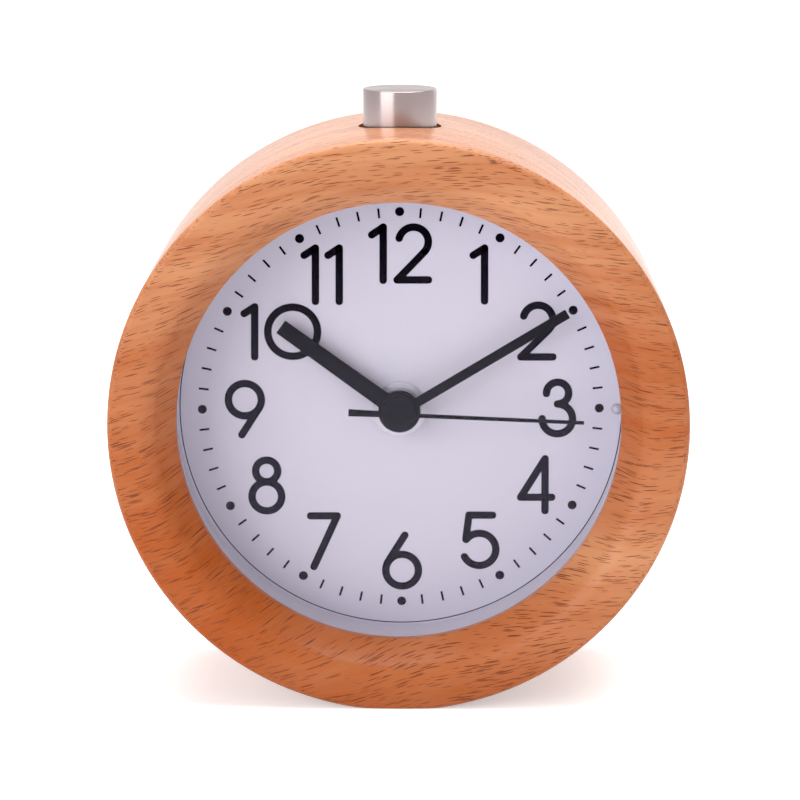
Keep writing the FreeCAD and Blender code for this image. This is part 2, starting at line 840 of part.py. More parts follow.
def step_wheel():
    """Wheel driven by the rotor, with the pinion that drives the seconds wheel."""
    arbor = rod(pivot_radius, middle_plate_y + middle_plate_thickness - pivot_reach,
                bridge_y + pivot_reach, step_centre)
    wheel = gear(step_wheel_teeth, rotor_module, step_layer_y, step_layer_y + step_wheel_thickness,
                 step_centre, step_phase)
    pinion = gear(step_pinion_teeth, step_module, second_layer_y, step_layer_y, step_centre, step_phase)
    return joined(arbor, wheel, pinion)


def second_wheel():
    """Seconds wheel and pinion on the long arbor that carries the second hand."""
    arbor = rod(second_arbor_radius, above_dial(second_cap_height + second_cap_thickness / 2),
                bridge_y + pivot_reach)
    wheel = gear(second_wheel_teeth, step_module, second_layer_y, second_layer_y + second_wheel_thickness)
    pinion = gear(second_pinion_teeth, third_module, third_layer_y, second_layer_y)
    return joined(arbor, wheel, pinion)


def third_wheel():
    """Wheel between the seconds wheel and the centre gear."""
    arbor = rod(pivot_radius, train_y - pivot_reach, bridge_y + pivot_reach, third_centre)
    wheel = gear(third_wheel_teeth, third_module, third_layer_y, third_layer_y + third_wheel_thickness,
                 third_centre, third_phase)
    pinion = gear(third_pinion_teeth, centre_module, centre_layer_y, third_layer_y, third_centre, third_phase)
    return joined(arbor, wheel, pinion)


def centre_gear():
    """Gear that grips the minute cannon by friction and slips when the hands are set."""
    wheel = gear(centre_gear_teeth, centre_module, centre_layer_y, centre_layer_y + centre_gear_thickness,
                 axis_centre, centre_phase)
    return without(wheel, rod(minute_tube_radius + running_gap, centre_layer_y - overrun,
                              middle_plate_y + overrun))


def minute_cannon():
    """Tube that carries the minute hand, with the pinion of the motion work."""
    front = above_dial(minute_hub_height + minute_hub_thickness)
    back = middle_plate_y - running_gap
    tube = rod(minute_tube_radius, front, back)
    pinion = gear(minute_pinion_teeth, change_module, change_layer_y, change_layer_y + change_wheel_thickness)
    return without(joined(tube, pinion), rod(minute_bore, front - overrun, back + overrun))


def change_wheel():
    """Wheel and pinion that slow the minute cannon down to the hour wheel."""
    arbor = rod(pivot_radius, train_y - pivot_reach, middle_plate_y + pivot_reach, change_centre)
    wheel = gear(change_wheel_teeth, change_module, change_layer_y, change_layer_y + change_wheel_thickness,
                 change_centre, change_phase)
    pinion = gear(change_pinion_teeth, hour_module, hour_layer_y, change_layer_y, change_centre, change_phase)
    return joined(arbor, wheel, pinion)


def hour_wheel():
    """Hour wheel on its tube."""
    front = above_dial(hour_hub_height + hour_hub_thickness)
    back = hour_layer_y + hour_wheel_thickness
    wheel = gear(hour_wheel_teeth, hour_module, hour_layer_y, back, axis_centre, hour_phase)
    tube = rod(hour_tube_radius, front, back)
    return without(joined(wheel, tube), rod(hour_bore, front - overrun, back + overrun))


def alarm_wheel():
    """Alarm wheel on the outermost tube."""
    front = above_dial(alarm_hand_height + alarm_hub_thickness)
    back = alarm_layer_y + alarm_wheel_thickness
    wheel = gear(alarm_wheel_teeth, alarm_module, alarm_layer_y, back)
    tube = rod(alarm_tube_radius, front, back)
    return without(joined(wheel, tube), rod(alarm_bore, front - overrun, back + overrun))


def setting_shaft(centre, pinion):
    """Shaft from the front plate to a knob on the back."""
    pivot = rod(pivot_radius, train_y - pivot_reach, alarm_layer_y, centre)
    shaft = rod(setting_shaft_radius, alarm_layer_y, shaft_end_y, centre)
    return joined(pivot, shaft, pinion)


def time_shaft():
    """Setting shaft in mesh with the change wheel."""
    pinion = gear(time_pinion_teeth, time_module, change_layer_y, change_layer_y + change_wheel_thickness,
                  time_centre, time_phase)
    return setting_shaft(time_centre, pinion)


def alarm_shaft():
    """Setting shaft in mesh with the alarm wheel."""
    pinion = gear(alarm_pinion_teeth, alarm_module, alarm_layer_y, alarm_layer_y + alarm_wheel_thickness,
                  alarm_centre, alarm_phase)
    return setting_shaft(alarm_centre, pinion)


def knob(centre):
    """Ribbed knob with a round skirt and a plain cap."""
    skirt = rod(knob_radius, knob_y, knob_y + knob_skirt, centre)
    grip_end = knob_y + knob_height - knob_ridge_depth
    grip = toothed(knob_ridges, knob_radius - knob_ridge_depth - knob_ridge_depth, knob_radius - knob_ridge_depth,
                   tooth_root_share, tooth_tip_share, knob_y + knob_skirt, grip_end, centre, 0.0)
    cap = rod(knob_radius - knob_ridge_depth - knob_cap_inset, grip_end, knob_y + knob_height, centre)
    socket = rod(setting_shaft_radius - press_bite, knob_y - overrun, shaft_end_y, centre)
    return without(joined(skirt, grip, cap), socket)


def blade(length, root_width, tip_width, y_from, y_to, angle):
    """Flat tapered bar from the hands' axis, at a clockwise angle from twelve."""
    corners = [(-root_width / 2, 0, 0), (root_width / 2, 0, 0), (tip_width / 2, length, 0),
               (-tip_width / 2, length, 0)]
    bar = slab(corners, y_from, y_to)
    bar.rotate(Vector(0, 0, 0), Vector(0, 1, 0), angle)
    return bar


def alarm_hand():
    """Short slim hand that points to the alarm time."""
    low = above_dial(alarm_hand_height)
    high = low - alarm_hub_thickness
    hub = rod(alarm_hub_radius, high, low)
    bar = blade(alarm_hand_length, alarm_hand_width, alarm_hand_width, high, low, alarm_hand_angle)
    return without(joined(hub, bar), rod(alarm_tube_radius - press_bite, high - overrun, low + overrun))


def hour_hand():
    """Broad hour hand with a round hub."""
    low = above_dial(hour_hub_height)
    high = low - hour_hub_thickness
    middle = (low + high) / 2
    hub = rod(hour_hub_radius, high, low)
    bar = blade(hour_hand_length, hour_hand_root_width, hour_hand_tip_width,
                middle - hand_thickness / 2, middle + hand_thickness / 2, hour_hand_angle)
    return without(joined(hub, bar), rod(hour_tube_radius - press_bite, high - overrun, low + overrun))


def minute_hand():
    """Slim straight minute hand with a round hub."""
    low = above_dial(minute_hub_height)
    high = low - minute_hub_thickness
    middle = (low + high) / 2
    hub = rod(minute_hub_radius, high, low)
    bar = blade(minute_hand_length, minute_hand_width, minute_hand_width,
                middle - hand_thickness / 2, middle + hand_thickness / 2, minute_hand_angle)
    return without(joined(hub, bar), rod(minute_tube_radius - press_bite, high - overrun, low + overrun))


def second_hand():
    """Thin second hand with a tail and a round cap."""
    low = above_dial(second_cap_height)
    high = low - second_cap_thickness
    middle = (low + high) / 2
    cap = turned([
        (0, low, 0),
        (second_cap_radius, low, 0),
        (second_cap_radius, high, second_cap_rounding),
        (0, high, 0),
    ])
    bar = blade(second_hand_length, second_hand_root_width, second_hand_tip_width,
                middle - hand_thickness / 2, middle + hand_thickness / 2, second_hand_angle)
    tail = blade(second_tail_length, second_tail_root_width, second_tail_end_width,
                 middle - hand_thickness / 2, middle + hand_thickness / 2, second_hand_angle + 180.0)
    socket = rod(second_arbor_radius - press_bite, middle, low + overrun)
    return without(joined(cap, bar, tail), socket)


def snooze_button():
    """Turned aluminium cap with a cavity for the spring."""
    body = upright(button_radius, button_low, button_top, 0, button_y)
    rim = [edge for edge in body.Edges if edge.BoundBox.ZMin > button_top - button_edge]
    cap = body.makeChamfer(button_edge, rim)
    cavity = upright(button_cavity_radius, button_low - overrun, button_ceiling, 0, button_y)
    seat = upright(stem_radius - press_bite, button_low, button_ceiling + stem_seat, 0, button_y)
    return without(cap, cavity, seat)


def button_stem():
    """Plunger pin with a groove for its retaining clip."""
    pin = upright(stem_radius, stem_low, button_ceiling + stem_seat, 0, button_y)
    clip_high = guide_low - running_gap
    ring = without(upright(stem_radius + overrun, clip_high - clip_thickness, clip_high, 0, button_y),
                   upright(stem_radius - clip_groove, clip_high - clip_thickness, clip_high, 0, button_y))
    return without(pin, ring)


def button_clip():
    """Open retaining clip under the guide."""
    high = guide_low - running_gap
    low = high - clip_thickness
    disc = upright(clip_radius, low, high, 0, button_y)
    hole = upright(stem_radius - clip_groove, low - overrun, high + overrun, 0, button_y)
    mouth = block(0, clip_radius + overrun, button_y - clip_mouth / 2, button_y + clip_mouth / 2,
                  low - overrun, high + overrun)
    return without(disc, hole, mouth)


def button_guide():
    """Flanged bush in the wood that guides the stem."""
    tube = upright(guide_radius, guide_low, guide_flange_top, 0, button_y)
    flange = upright(guide_flange_radius, button_well_floor, guide_flange_top, 0, button_y)
    bore = upright(stem_radius + running_gap, guide_low - overrun, guide_flange_top + overrun, 0, button_y)
    return without(joined(tube, flange), bore)


def button_spring():
    """Compression spring between the guide's flange and the button's cavity."""
    length = button_ceiling - guide_flange_top - 2 * button_spring_wire_radius - 2 * running_gap
    coil = coil_spring(button_spring_radius, button_spring_wire_radius, length, button_spring_turns)
    coil.translate(Vector(0, button_y, guide_flange_top + button_spring_wire_radius + running_gap))
    return coil


def switch_board():
    """Small board above the movement that carries the snooze switch."""
    return block(-switch_board_half_length, switch_board_half_length,
                 button_y - switch_board_depth / 2, button_y + switch_board_depth / 2,
                 switch_board_low, switch_board_high)


def snooze_switch():
    """Push switch under the stem."""
    half = switch_width / 2
    body = block(-half, half, button_y - half, button_y + half,
                 switch_board_high, switch_board_high + switch_height)
    plunger = upright(switch_plunger_radius, switch_board_high + switch_height, switch_top, 0, button_y)
    return joined(body, plunger)


def battery():
    """AA cell with its nub towards +X."""
    nub_end = movement_inner_half - contact_thickness
    shoulder = nub_end - cell_nub_length
    can = crosswise(cell_radius, nub_end - cell_length, shoulder, cell_y, cell_height)
    nub = crosswise(cell_nub_radius, shoulder, nub_end, cell_y, cell_height)
    return joined(can, nub)


def contact_plate(x_from):
    """Flat spring-metal plate at one end of the cell."""
    return block(x_from, x_from + contact_thickness, cell_y - contact_width / 2, cell_y + contact_width / 2,
                 cell_height - contact_height / 2, cell_height + contact_height / 2)


def positive_contact():
    """Plate at the nub's end."""
    return contact_plate(movement_inner_half - contact_thickness)


def negative_contact():
    """Plate behind the conical spring."""
    return contact_plate(-movement_inner_half)


def contact_spring():
    """Spring against the flat end of the cell."""
    length = contact_spring_room - 2 * contact_spring_wire_radius - 2 * running_gap
    coil = coil_spring(contact_spring_radius, contact_spring_wire_radius, length, contact_spring_turns)
    coil.rotate(Vector(0, 0, 0), Vector(0, 1, 0), 90)
    start_x = -movement_inner_half + contact_thickness + contact_spring_wire_radius + running_gap
    coil.translate(Vector(start_x, cell_y, cell_height))
    return coil


def back_cover():
    """Moulded cover with posts that hold the dial stack forwards."""
    disc = rod(cover_radius, cover_inner_y, cover_outer_y)
    posts = [rod(cover_post_radius, dial_back_y, cover_inner_y, place) for place in cover_post_places]
    y_from = cover_inner_y - overrun
    y_to = cover_outer_y + overrun
    screws = [rod(screw_shank_radius + rest_gap, y_from, y_to, place) for place in screw_places]
    heads = [rod(screw_head_radius + rest_gap, cover_outer_y - screw_head_height, y_to, place)
             for place in screw_places]
    opening = rounded_slab(door_half_length - door_margin, cell_height - cell_radius, cell_height + cell_radius,
                           door_corner_radius, y_from, y_to)
    rebate = rounded_slab(door_half_length, cell_height - door_half_height, cell_height + door_half_height,
                          door_corner_radius, door_step_y, y_to)
    notch = rod(finger_notch_radius, door_step_y, y_to, (0, cell_height + door_half_height))
    shafts = [rod(setting_shaft_radius + shaft_hole_play, y_from, y_to, place)
              for place in (time_centre, alarm_centre)]
    slot = slider_slot(slider_stem_length / 2 + rest_gap, slider_stem_width / 2 + rest_gap, y_from, y_to)
    sound = [rod(sound_hole_radius, y_from, y_to, place) for place in sound_places]
    return without(joined(disc, *posts), opening, rebate, notch, slot, *screws, *heads, *shafts, *sound)


def cover_screws():
    """Wood screws that hold the back cover."""
    head_y = cover_outer_y - screw_head_height
    screws = []
    for place in screw_places:
        shank = rod(screw_shank_radius, cover_outer_y - screw_length, head_y, place)
        screws.append(joined(shank, rod(screw_head_radius, head_y, cover_outer_y, place)))
    return Part.makeCompound(screws)


def battery_door():
    """Lift-off door with a plug that fits the opening and a sprung tab."""
    lip = rounded_slab(door_half_length - door_play, cell_height - door_half_height + door_play,
                       cell_height + door_half_height - door_play, door_corner_radius,
                       door_step_y, cover_outer_y)
    plug = rounded_slab(door_half_length - door_margin - door_play, cell_height - cell_radius + door_play,
                        cell_height + cell_radius - door_play, door_corner_radius,
                        cover_inner_y, door_step_y)
    door = joined(lip, plug)
    top = cell_height + door_half_height
    slits = [block(side - door_tab_slit / 2, side + door_tab_slit / 2, cover_inner_y - overrun,
                   cover_outer_y + overrun, top - door_tab_height, top + overrun)
             for side in (-door_tab_width / 2, door_tab_width / 2)]
    return without(door, *slits)


def alarm_slider():
    """Alarm on and off slider: carrier inside, stem through the slot and a grooved cap outside."""
    def part(length, width, y_from, y_to):
        return block(-slider_offset - length / 2, -slider_offset + length / 2, y_from, y_to,
                     parts_line - width / 2, parts_line + width / 2)

    cap_y = cover_outer_y + rest_gap
    cap_end = cap_y + slider_cap_height
    carrier = part(slider_base_length, slider_base_width, board_y + board_thickness + rest_gap,
                   rear_wall_y - rest_gap)
    stem = part(slider_stem_length, slider_stem_width, rear_wall_y - rest_gap, cap_y)
    cap = part(slider_cap_length, slider_cap_width, cap_y, cap_end)
    pitch = slider_cap_length / (slider_cap_grooves + 1)
    grooves = []
    for index in range(slider_cap_grooves):
        middle = -slider_offset - slider_cap_length / 2 + (index + 1) * pitch
        grooves.append(block(middle - slider_groove_width / 2, middle + slider_groove_width / 2,
                             cap_end - slider_groove_depth, cap_end + overrun,
                             parts_line - slider_cap_width, parts_line + slider_cap_width))
    return without(joined(carrier, stem, cap), *grooves)


pieces = {
    "wooden_case": wooden_case,
    "front_lens": front_lens,
    "dial_ring": dial_ring,
    "dial": dial,
    "dial_washer": dial_washer,
    "dial_nut": dial_nut,
    "lamp": lamp,
    "lamp_leads": lamp_leads,
    "movement_front": movement_front,
    "middle_plate": middle_plate,
    "rear_bridge": rear_bridge,
    "movement_rear": movement_rear,
    "circuit_board": circuit_board,
    "quartz_crystal": quartz_crystal,
    "control_chip": control_chip,
    "buzzer": buzzer,
    "stator": stator,
    "coil_core": coil_core,
    "drive_coil": drive_coil,
    "rotor": rotor,
    "step_wheel": step_wheel,
    "second_wheel": second_wheel,
    "third_wheel": third_wheel,
    "centre_gear": centre_gear,
    "minute_cannon": minute_cannon,
    "change_wheel": change_wheel,
    "hour_wheel": hour_wheel,
    "alarm_wheel": alarm_wheel,
    "time_shaft": time_shaft,
    "alarm_shaft": alarm_shaft,
    "time_knob": lambda: knob(time_centre),
    "alarm_knob": lambda: knob(alarm_centre),
    "alarm_hand": alarm_hand,
    "hour_hand": hour_hand,
    "minute_hand": minute_hand,
    "second_hand": second_hand,
    "snooze_button": snooze_button,
    "button_stem": button_stem,
    "button_clip": button_clip,
    "button_guide": button_guide,
    "button_spring": button_spring,
    "switch_board": switch_board,
    "snooze_switch": snooze_switch,
    "battery": battery,
    "positive_contact": positive_contact,
    "negative_contact": negative_contact,
    "contact_spring": contact_spring,
    "back_cover": back_cover,
    "cover_screws": cover_screws,
    "battery_door": battery_door,
    "alarm_slider": alarm_slider,
}


def write_pieces():
    """Lift each piece to its height and write it."""
    os.makedirs("parts", exist_ok=True)
    for name, build in pieces.items():
        shape = build()
        shape.translate(Vector(0, 0, axis_height))
        shape.exportStep("parts/" + name + ".step")


write_pieces()
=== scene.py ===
"""Looks of the round wooden alarm clock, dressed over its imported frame.

Metres. X is to the right as the dial is read, Y runs from the front rim to the back rim, Z is up.
The clock stands on z = 0. Sizes in the classes are mm, and dial places start at the hands' axis.
"""
import logging
import math
from dataclasses import dataclass, field
from enum import Enum
from typing import Callable, Dict, List, Optional, Sequence, Tuple

import bmesh
import bpy
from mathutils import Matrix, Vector
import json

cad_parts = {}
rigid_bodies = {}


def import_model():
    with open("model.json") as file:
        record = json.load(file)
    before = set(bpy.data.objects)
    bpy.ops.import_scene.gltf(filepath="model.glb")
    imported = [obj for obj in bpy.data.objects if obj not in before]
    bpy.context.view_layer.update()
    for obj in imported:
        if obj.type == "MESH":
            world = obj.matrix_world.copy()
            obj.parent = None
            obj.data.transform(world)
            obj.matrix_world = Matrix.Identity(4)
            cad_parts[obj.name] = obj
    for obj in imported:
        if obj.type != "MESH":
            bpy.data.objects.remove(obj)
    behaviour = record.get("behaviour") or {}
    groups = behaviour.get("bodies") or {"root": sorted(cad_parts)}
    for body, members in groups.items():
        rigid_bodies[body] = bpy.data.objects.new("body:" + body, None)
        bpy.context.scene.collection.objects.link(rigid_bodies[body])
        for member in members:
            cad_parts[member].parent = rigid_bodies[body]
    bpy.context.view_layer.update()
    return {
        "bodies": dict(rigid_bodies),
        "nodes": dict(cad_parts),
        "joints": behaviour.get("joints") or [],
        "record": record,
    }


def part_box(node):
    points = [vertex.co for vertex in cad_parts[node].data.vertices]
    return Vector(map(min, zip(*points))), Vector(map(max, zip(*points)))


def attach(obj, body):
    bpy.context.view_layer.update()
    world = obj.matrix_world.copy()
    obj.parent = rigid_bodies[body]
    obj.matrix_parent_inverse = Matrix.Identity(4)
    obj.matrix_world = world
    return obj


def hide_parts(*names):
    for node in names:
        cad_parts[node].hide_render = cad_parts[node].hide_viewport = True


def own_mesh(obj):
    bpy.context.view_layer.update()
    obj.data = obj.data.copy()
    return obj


log = logging.getLogger("clock")

MM = 0.001
AXIS_HEIGHT = 49.398  # height of the hands' axis, mm
BUTTON_DEPTH = 1.75  # y of the button's axis, mm
CLOSING_RADIUS = 0.0005  # stands for zero where a turned piece closes on its axis, mm
MERGE = 3e-6  # vertices nearer to each other than this become one, metres
UPRIGHT = (math.pi / 2, 0.0, 0.0)  # turns a flat primitive to face along Y

Piece = bpy.types.Object
Socket = bpy.types.NodeSocket
Pair = Tuple[float, float]
Corner = Tuple[float, float, float]
Colour = Tuple[float, float, float]


class Axis(Enum):
    """Direction that a turned piece is turned about."""

    DEPTH = "Y"
    HEIGHT = "Z"


class Body(Enum):
    """Moving groups of the clock."""

    CASE = "case"
    SECONDS = "seconds"
    MINUTES = "minutes"
    HOURS = "hours"
    SNOOZE = "snooze"
    ALARM_SETTING = "alarm_setting"
    TIME_SETTING = "time_setting"
    CELL_DOOR = "cell_door"


# Shapes


def object_mode() -> None:
    """Leave edit mode."""
    if bpy.context.object and bpy.context.object.mode != "OBJECT":
        bpy.ops.object.mode_set(mode="OBJECT")


def deselect() -> None:
    """Leave edit mode and clear the selection."""
    object_mode()
    bpy.ops.object.select_all(action="DESELECT")


def choose(piece: Piece, edit: bool = False) -> None:
    """Make a piece the only selected and the active one.

    Args:
        piece: the object to work on.
        edit: whether to go on to edit mode with all of it selected.
    """
    deselect()
    piece.select_set(True)
    bpy.context.view_layer.objects.active = piece
    if edit:
        bpy.ops.object.mode_set(mode="EDIT")
        bpy.ops.mesh.select_all(action="SELECT")


def named(name: str) -> Piece:
    """Name the active object and settle its place into its mesh.

    Args:
        name: the piece's name.

    Returns:
        The active object, now at the origin.
    """
    object_mode()
    bpy.ops.object.transform_apply(location=True, rotation=True, scale=True)
    piece = bpy.context.object
    piece.name = name
    return piece


def pick(piece: Piece, test: Callable[[Vector], bool]) -> None:
    """Select, in edit mode, the vertices whose places pass a test.

    Args:
        piece: the object in edit mode.
        test: says of a place whether it is picked.
    """
    mesh = bmesh.from_edit_mesh(piece.data)
    for corner in mesh.verts:
        corner.select = test(corner.co)
    mesh.select_flush_mode()
    bmesh.update_edit_mesh(piece.data)


def pick_open_edges() -> None:
    """Select, in edit mode, the edges that bound a hole."""
    bpy.ops.mesh.select_all(action="DESELECT")
    bpy.ops.mesh.select_non_manifold()


def finish_shape(piece: Piece, smooth_degrees: float = 35.0) -> Piece:
    """Merge doubles, point faces outwards and smooth the shallow edges.

    Args:
        piece: the object to finish.
        smooth_degrees: edges flatter than this are smoothed.

    Returns:
        The same object.
    """
    choose(piece, edit=True)
    bpy.ops.mesh.remove_doubles(threshold=MERGE)
    bpy.ops.mesh.normals_make_consistent(inside=False)
    bpy.ops.object.mode_set(mode="OBJECT")
    bpy.ops.object.shade_smooth_by_angle(angle=math.radians(smooth_degrees))
    return piece


def bevel(piece: Piece, width: float) -> None:
    """Round the sharp edges of a piece with an applied Bevel modifier.

    Args:
        piece: the object to bevel.
        width: width of the bevel, in mm.
    """
    choose(piece)
    tool = piece.modifiers.new("edge", "BEVEL")
    tool.width = width * MM
    tool.segments = 2
    tool.limit_method = "ANGLE"
    tool.angle_limit = math.radians(40.0)
    bpy.ops.object.modifier_apply(modifier=tool.name)


def carve(piece: Piece, cutter: Piece) -> None:
    """Cut one piece out of another and delete the cutter.

    Args:
        piece: the object that is cut.
        cutter: the object that cuts.
    """
    choose(piece)
    tool = piece.modifiers.new("cut", "BOOLEAN")
    tool.object = cutter
    tool.operation = "DIFFERENCE"
    tool.solver = "EXACT"
    bpy.ops.object.modifier_apply(modifier=tool.name)
    bpy.data.objects.remove(cutter, do_unlink=True)


def copied(piece: Piece) -> Piece:
    """Copy a piece together with its mesh.

    Args:
        piece: the object to copy.

    Returns:
        The copy.
    """
    copy = piece.copy()
    copy.data = piece.data.copy()
    bpy.context.collection.objects.link(copy)
    return copy


def merged(name: str, parts: Sequence[Piece]) -> Piece:
    """Join several objects into the first one.

    Args:
        name: name of the joined object.
        parts: the objects, the first of which stays.

    Returns:
        The joined object.
    """
    deselect()
    for part in parts:
        part.select_set(True)
    bpy.context.view_layer.objects.active = parts[0]
    bpy.ops.object.join()
    return named(name)


def eased(corners: Sequence[Corner], cuts: int = 6) -> List[Pair]:
    """Lay out each rounded corner of a profile as short straight cuts.

    Args:
        corners: (radius, place along the axis, rounding radius) in mm.
        cuts: number of cuts in each rounding.

    Returns:
        The rings of the profile, in mm.
    """
    rings: List[Pair] = []
    for index, (radius, along, rounding) in enumerate(corners):
        if rounding <= 0:
            rings.append((radius, along))
            continue
        here = Vector((radius, along))
        before = (Vector(corners[index - 1][:2]) - here).normalized()
        after = (Vector(corners[(index + 1) % len(corners)][:2]) - here).normalized()
        half = before.angle(after) / 2
        centre = here + (before + after).normalized() * (rounding / math.sin(half))
        first = here + before * (rounding / math.tan(half)) - centre
        last = here + after * (rounding / math.tan(half)) - centre
        sweep = first.angle(last)
        for step in range(cuts + 1):
            turn = sweep * step / cuts
            arm = (first * math.sin(sweep - turn) + last * math.sin(turn)) / math.sin(sweep)
            rings.append(tuple(centre + arm))
    return rings


def turned(name: str, rings: Sequence[Pair], centre: Pair, axis: Axis = Axis.DEPTH,
           segments: int = 96, closed: bool = False, smooth_degrees: float = 35.0) -> Piece:
    """Model a turned piece: a ring is extruded and resized from cut to cut.

    Args:
        name: the piece's name.
        rings: (radius, place along the axis) of each cut, in mm.
        centre: where the axis stands, in mm: (x, z) for DEPTH and (x, y) for HEIGHT.
        axis: direction of the axis.
        segments: vertices round the ring.
        closed: whether the last ring is bridged to the first.
        smooth_degrees: edges flatter than this are smoothed.

    Returns:
        The finished object.
    """
    deep = axis is Axis.DEPTH

    def spot(along: float) -> Vector:
        """Return the axis's place at this distance along it, in metres."""
        places = (centre[0], along, centre[1]) if deep else (centre[0], centre[1], along)
        return Vector(places) * MM

    deselect()
    radius, along = max(rings[0][0], CLOSING_RADIUS), rings[0][1]
    bpy.ops.mesh.primitive_circle_add(vertices=segments, radius=radius * MM, location=spot(along),
                                      rotation=UPRIGHT if deep else (0.0, 0.0, 0.0))
    choose(named(name), edit=True)
    for next_radius, next_along in rings[1:]:
        next_radius = max(next_radius, CLOSING_RADIUS)
        step = spot(next_along) - spot(along)
        bpy.ops.mesh.extrude_region_move(TRANSFORM_OT_translate={"value": step})
        grow = next_radius / radius
        if abs(grow - 1.0) > 1e-9:
            factors = (grow, 1.0, grow) if deep else (grow, grow, 1.0)
            bpy.ops.transform.resize(value=factors, center_override=spot(next_along))
        radius, along = next_radius, next_along
    if closed:
        pick_open_edges()
        bpy.ops.mesh.bridge_edge_loops()
    return finish_shape(named(name), smooth_degrees)


def block(name: str, low: Sequence[float], high: Sequence[float]) -> Piece:
    """Start a block between two corners, ready to be shaped.

    Args:
        name: the piece's name.
        low: lowest corner, in mm.
        high: highest corner, in mm.

    Returns:
        The block.
    """
    deselect()
    middle = [(a + b) / 2 * MM for a, b in zip(low, high)]
    bpy.ops.mesh.primitive_cube_add(size=1.0, location=middle)
    bpy.ops.transform.resize(value=[(b - a) * MM for a, b in zip(low, high)])
    return named(name)


# Finishes


class Nodes:
    """A node tree under construction."""

    def __init__(self, tree: bpy.types.NodeTree) -> None:
        """Start on an empty tree."""
        self.tree = tree
        tree.nodes.clear()

    def feed(self, inputs: Sequence[Socket], values: Sequence[object]) -> None:
        """Link inputs to outputs, or set their values.

        Args:
            inputs: the sockets to feed.
            values: an output to link or a plain value for each.
        """
        for socket, value in zip(inputs, values):
            if isinstance(value, Socket):
                self.tree.links.new(value, socket)
            else:
                socket.default_value = value

    def add(self, kind: str, settings: Optional[Dict[str, object]] = None,
            **sockets: object) -> bpy.types.Node:
        """Add a node, set its options and fill or link its inputs.

        Args:
            kind: node type without its ShaderNode prefix.
            settings: properties of the node.
            **sockets: inputs by name, spaces written as underscores.

        Returns:
            The node.
        """
        prefix = "" if kind.startswith("NodeGroup") else "ShaderNode"
        node = self.tree.nodes.new(prefix + kind)
        for key, value in (settings or {}).items():
            setattr(node, key, value)
        inputs = [node.inputs[key.replace("_", " ")] for key in sockets]
        self.feed(inputs, list(sockets.values()))
        return node

    def group(self, tree: bpy.types.NodeTree, **sockets: object) -> Sequence[Socket]:
        """Place a node group and return its outputs."""
        return self.add("Group", {"node_tree": tree}, **sockets).outputs

    def math(self, operation: str, *values: object, clamp: bool = False) -> Socket:
        """Add a Math node.

        Args:
            operation: what it does.
            *values: its inputs in order.
            clamp: whether the result is kept between 0 and 1.

        Returns:
            Its output.
        """
        node = self.add("Math", {"operation": operation, "use_clamp": clamp})
        self.feed(node.inputs, values)
        return node.outputs[0]

    def times(self, first: object, second: object) -> Socket:
        """Return a product."""
        return self.math("MULTIPLY", first, second)

    def minus(self, first: object, second: object) -> Socket:
        """Return a difference."""
        return self.math("SUBTRACT", first, second)

    def larger(self, first: object, second: object) -> Socket:
        """Return the larger of two values."""
        return self.math("MAXIMUM", first, second)

    def times_plus(self, first: object, second: object, third: object) -> Socket:
        """Return the first times the second, plus the third."""
        return self.math("MULTIPLY_ADD", first, second, third)

    def vector(self, operation: str, *values: object) -> Socket:
        """Add a Vector Math node.

        Args:
            operation: what it does.
            *values: its inputs in order.

        Returns:
            Its output, a vector for SUBTRACT and else a number.
        """
        node = self.add("VectorMath", {"operation": operation})
        self.feed(node.inputs, values)
        return node.outputs["Vector" if operation == "SUBTRACT" else "Value"]

    def place(self) -> Socket:
        """Return the place on the object, in metres."""
        return self.add("TexCoord").outputs["Object"]

    def split(self, place: Socket) -> Sequence[Socket]:
        """Return the x, y and z of a place."""
        return self.add("SeparateXYZ", None, Vector=place).outputs

    def joined(self, **parts: Socket) -> Socket:
        """Return the place with this X, Y and Z."""
        return self.add("CombineXYZ", None, **parts).outputs[0]

    def ramp(self, value: object, low: float, high: float) -> Socket:
        """Return a smooth step from 0 at low to 1 at high."""
        return self.add("MapRange", {"interpolation_type": "SMOOTHSTEP"}, Value=value,
                        From_Min=low, From_Max=high).outputs[0]

    def noise(self, place: Socket, scale: object, detail: float = 2.0,
              roughness: float = 0.5) -> Socket:
        """Return soft noise about one half at a place."""
        return self.add("TexNoise", None, Vector=place, Scale=scale, Detail=detail,
                        Roughness=roughness).outputs["Fac"]

    def blend(self, share: Socket, first: object, second: object) -> Socket:
        """Mix two colours.

        Args:
            share: share of the second one.
            first: a colour, or an output.
            second: a colour, or an output.

        Returns:
            The mixed colour.
        """
        node = self.add("Mix", {"data_type": "RGBA"})
        colours = [(*value, 1.0) if isinstance(value, tuple) else value
                   for value in (first, second)]
        self.feed((node.inputs[0], *node.inputs[6:8]), (share, *colours))
        return node.outputs[2]

    def rays(self, *kinds: str) -> Socket:
        """Tell some kinds of light ray from the rest.

        Args:
            *kinds: such as Camera or Glossy.

        Returns:
            1 for these rays and 0 for others.
        """
        path = self.add("LightPath").outputs
        mask = path["Is %s Ray" % kinds[0]]
        for kind in kinds[1:]:
            mask = self.larger(mask, path["Is %s Ray" % kind])
        return mask


def new_material(name: str) -> Tuple[bpy.types.Material, Nodes]:
    """Start a material on an empty node tree.

    Args:
        name: the material's name.

    Returns:
        The material and its nodes.
    """
    material = bpy.data.materials.new(name)
    material.use_nodes = True
    return material, Nodes(material.node_tree)


